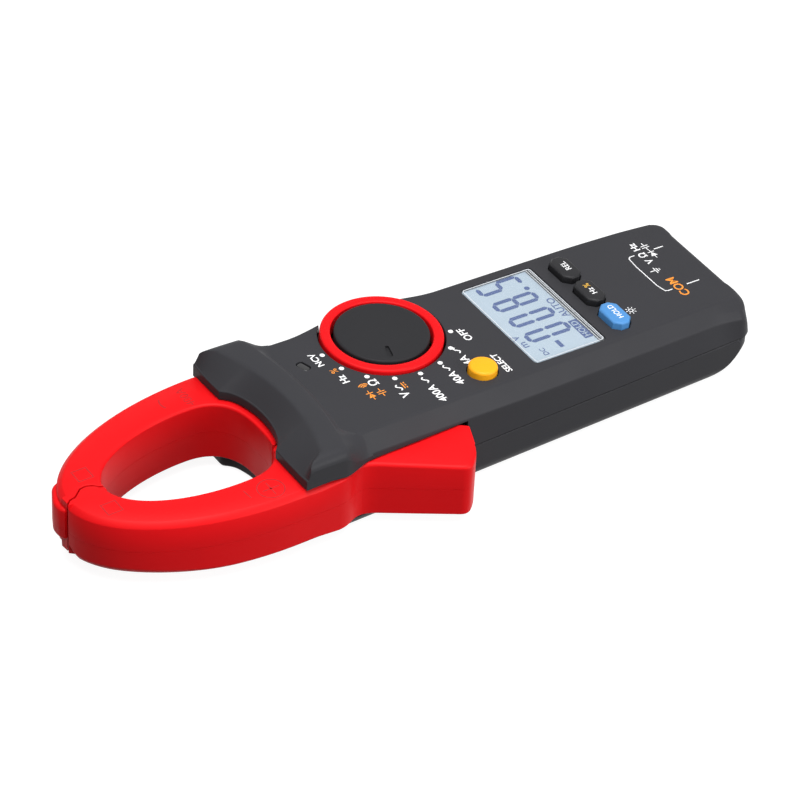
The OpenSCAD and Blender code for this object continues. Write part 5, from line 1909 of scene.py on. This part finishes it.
@dataclass(frozen=True)
class SoftBox:
    """A square light: where it stands, how large and how strong it is."""

    name: str
    place: tuple[float, float, float]
    size: float
    watts: float

    def build(self) -> None:
        """Makes the light, aimed at the meter's middle."""
        data = bpy.data.lights.new(self.name, "AREA")
        data.shape, data.size, data.energy = "SQUARE", self.size, self.watts
        obj = bpy.data.objects.new(self.name, data)
        place = Vector(self.place)
        obj.location = place
        obj.rotation_euler = (Vector((0, 0, 0.01)) - place).to_track_quat("-Z", "Y").to_euler()
        bpy.context.scene.collection.objects.link(obj)


class Studio:
    """Floor, background, lights and camera."""

    LIGHTS = (SoftBox("overhead", (-0.15, 0.1, 0.9), 0.8, 13.0),
              SoftBox("tail side", (-0.83, -0.45, 0.33), 0.45, 5.6))
    # Brightness of the floor and of the world, as a viewing ray meets them and as the light does.
    FLOOR_SHADE, FLOOR_SEEN, FLOOR_GLOW = 0.06, 0.16, 0.92
    WORLD_LIGHT, WORLD_SEEN = 0.15, 0.85
    FLOOR_HALF, FLOOR_Z = 3000, -0.05
    # The camera: azimuth, elevation and roll in degrees, the point it looks at and its distance, in millimetres.
    VIEW = (-125.13, 39.191, 3.01)
    VIEW_SCALE = 0.98
    VIEW_AT = (14.534, -11.782)
    VIEW_SHIFT = 2.4
    VIEW_FROM = 1166.8
    FOCAL, SENSOR = 180.0, 36.0

    @staticmethod
    def seen(wires: Wiring) -> bpy.types.NodeSocket:
        """1 for camera, glossy and transmission rays, 0 for the rest.

        Args:
            wires: the material's nodes.

        Returns:
            The value's socket.
        """
        path = wires.add("ShaderNodeLightPath")
        mirrored = wires.math("ADD", path.outputs["Is Glossy Ray"], path.outputs["Is Transmission Ray"])
        return wires.math("ADD", path.outputs["Is Camera Ray"], mirrored, clamp=True)

    def floor(self) -> None:
        """A pale floor that looks white where it is lit and keeps a soft shadow."""
        shape = Shape("floor")
        half = self.FLOOR_HALF
        corners = [(-half, -half), (half, -half), (half, half), (-half, half)]
        shape.add(np.array([(x, y, self.FLOOR_Z) for x, y in corners]), [[0, 1, 2, 3]])
        floor = shape.tool()
        made = bpy.data.materials.new("floor")
        made.use_nodes = True
        wires = Wiring(made.node_tree)
        made.node_tree.nodes.clear()
        out = wires.add("ShaderNodeOutputMaterial")
        lit, glow = wires.add("ShaderNodeBsdfDiffuse"), wires.add("ShaderNodeEmission")
        seen = self.seen(wires)
        shade = wires.math("ADD", wires.math("MULTIPLY", seen, self.FLOOR_SEEN), self.FLOOR_SHADE)
        wires.join(shade, lit, "Color")
        glow.inputs["Color"].default_value = (1, 1, 1, 1)
        wires.join(wires.math("MULTIPLY", seen, self.FLOOR_GLOW), glow, "Strength")
        both = wires.add("ShaderNodeAddShader")
        wires.join(lit.outputs[0], both, 0)
        wires.join(glow.outputs[0], both, 1)
        wires.join(both.outputs[0], out, "Surface")
        floor.data.materials.append(made)
        floor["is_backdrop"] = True

    def world(self) -> None:
        """A white background for viewing, glossy and transmission rays and a soft grey one for the light."""
        world = bpy.data.worlds.new("studio")
        world.use_nodes = True
        bpy.context.scene.world = world
        wires = Wiring(world.node_tree)
        back = world.node_tree.nodes["Background"]
        back.inputs["Color"].default_value = (1, 1, 1, 1)
        seen = wires.math("MULTIPLY", self.seen(wires), self.WORLD_SEEN)
        wires.join(wires.math("ADD", seen, self.WORLD_LIGHT), back, "Strength")

    def camera(self) -> None:
        """The camera: azimuth, elevation, roll and distance about a point beside the origin."""
        az, el, roll = (math.radians(v) for v in self.VIEW)
        back = Vector((math.sin(az) * math.cos(el), -math.cos(az) * math.cos(el), math.sin(el)))
        right = Vector((math.cos(az), math.sin(az), 0.0))
        up = back.cross(right)
        x = right * math.cos(roll) + up * math.sin(roll)
        y = -right * math.sin(roll) + up * math.cos(roll)
        k = self.VIEW_SCALE
        target = Vector((self.VIEW_AT[0] * k, self.VIEW_AT[1] * k + self.VIEW_SHIFT, 0.0)) * MM
        data = bpy.data.cameras.new("camera")
        data.lens, data.sensor_width, data.clip_start, data.clip_end = self.FOCAL, self.SENSOR, 0.01, 20.0
        obj = bpy.data.objects.new("camera", data)
        place = target + back * (self.VIEW_FROM * k * MM)
        obj.matrix_world = Matrix.Translation(place) @ Matrix((x, y, back)).transposed().to_4x4()
        bpy.context.scene.collection.objects.link(obj)
        bpy.context.scene.camera = obj

    def build(self) -> None:
        """Sets the stage."""
        self.floor()
        self.world()
        self.camera()
        for light in self.LIGHTS:
            light.build()
        bpy.context.scene.view_settings.view_transform = "Standard"


SCREWS = (
    Screws("case_screws", Body.METER, ((20.5, -24.0), (-20.5, -24.0), (19.5, -89.4), (-19.5, -89.4), (22.0, 33.0),
                                       (-5.4, 32.6)), 0.4),
    Screws("battery_screw", Body.COVER, ((0.0, -30.6),), 0.2),
    Screws("jaw_screws", Body.JAW, ((-22.6, 62.0), (-28.2, 10.0)), 5.2),
    Screws("fixed_jaw_screws", Body.METER, ((23.1, 48.0), (9.5, 99.5)), 5.2),
)


def finish_frame() -> None:
    """Gives every CAD node the finish of its record slot."""
    for part in frame["record"]["subparts"]:
        obj = frame["nodes"].get(part["node"])
        if obj is None:
            continue
        material = SLOT_FINISH[part["material_slot"]].material()
        if not obj.material_slots:
            obj.data.materials.append(material)
        for holder in obj.material_slots:
            holder.material = material


def visual_box() -> list[list[float]]:
    """The box round every finished piece, in metres.

    Returns:
        Its lowest and highest corner.
    """
    bpy.context.view_layer.update()
    low, high = np.full(3, np.inf), np.full(3, -np.inf)
    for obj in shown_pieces():
        corners = np.array([obj.matrix_world @ Vector(c) for c in obj.bound_box])
        low, high = np.minimum(low, corners.min(axis=0)), np.maximum(high, corners.max(axis=0))
    return [low.tolist(), high.tolist()]


def main() -> None:
    """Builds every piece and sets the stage."""
    logging.basicConfig(level=logging.INFO, format="%(message)s")
    finish_frame()
    Jaws().build()
    FrontCase().build()
    RearCase().build()
    BatteryCover().build()
    for screws in SCREWS:
        screws.build()
    Selector().build()
    Keys().build()
    Display().build()
    Print().build()
    Studio().build()
    {"cad": [list(map(float, c)) for c in CAD_BOX], "visual": visual_box()}


if __name__ == "__main__":
    main()
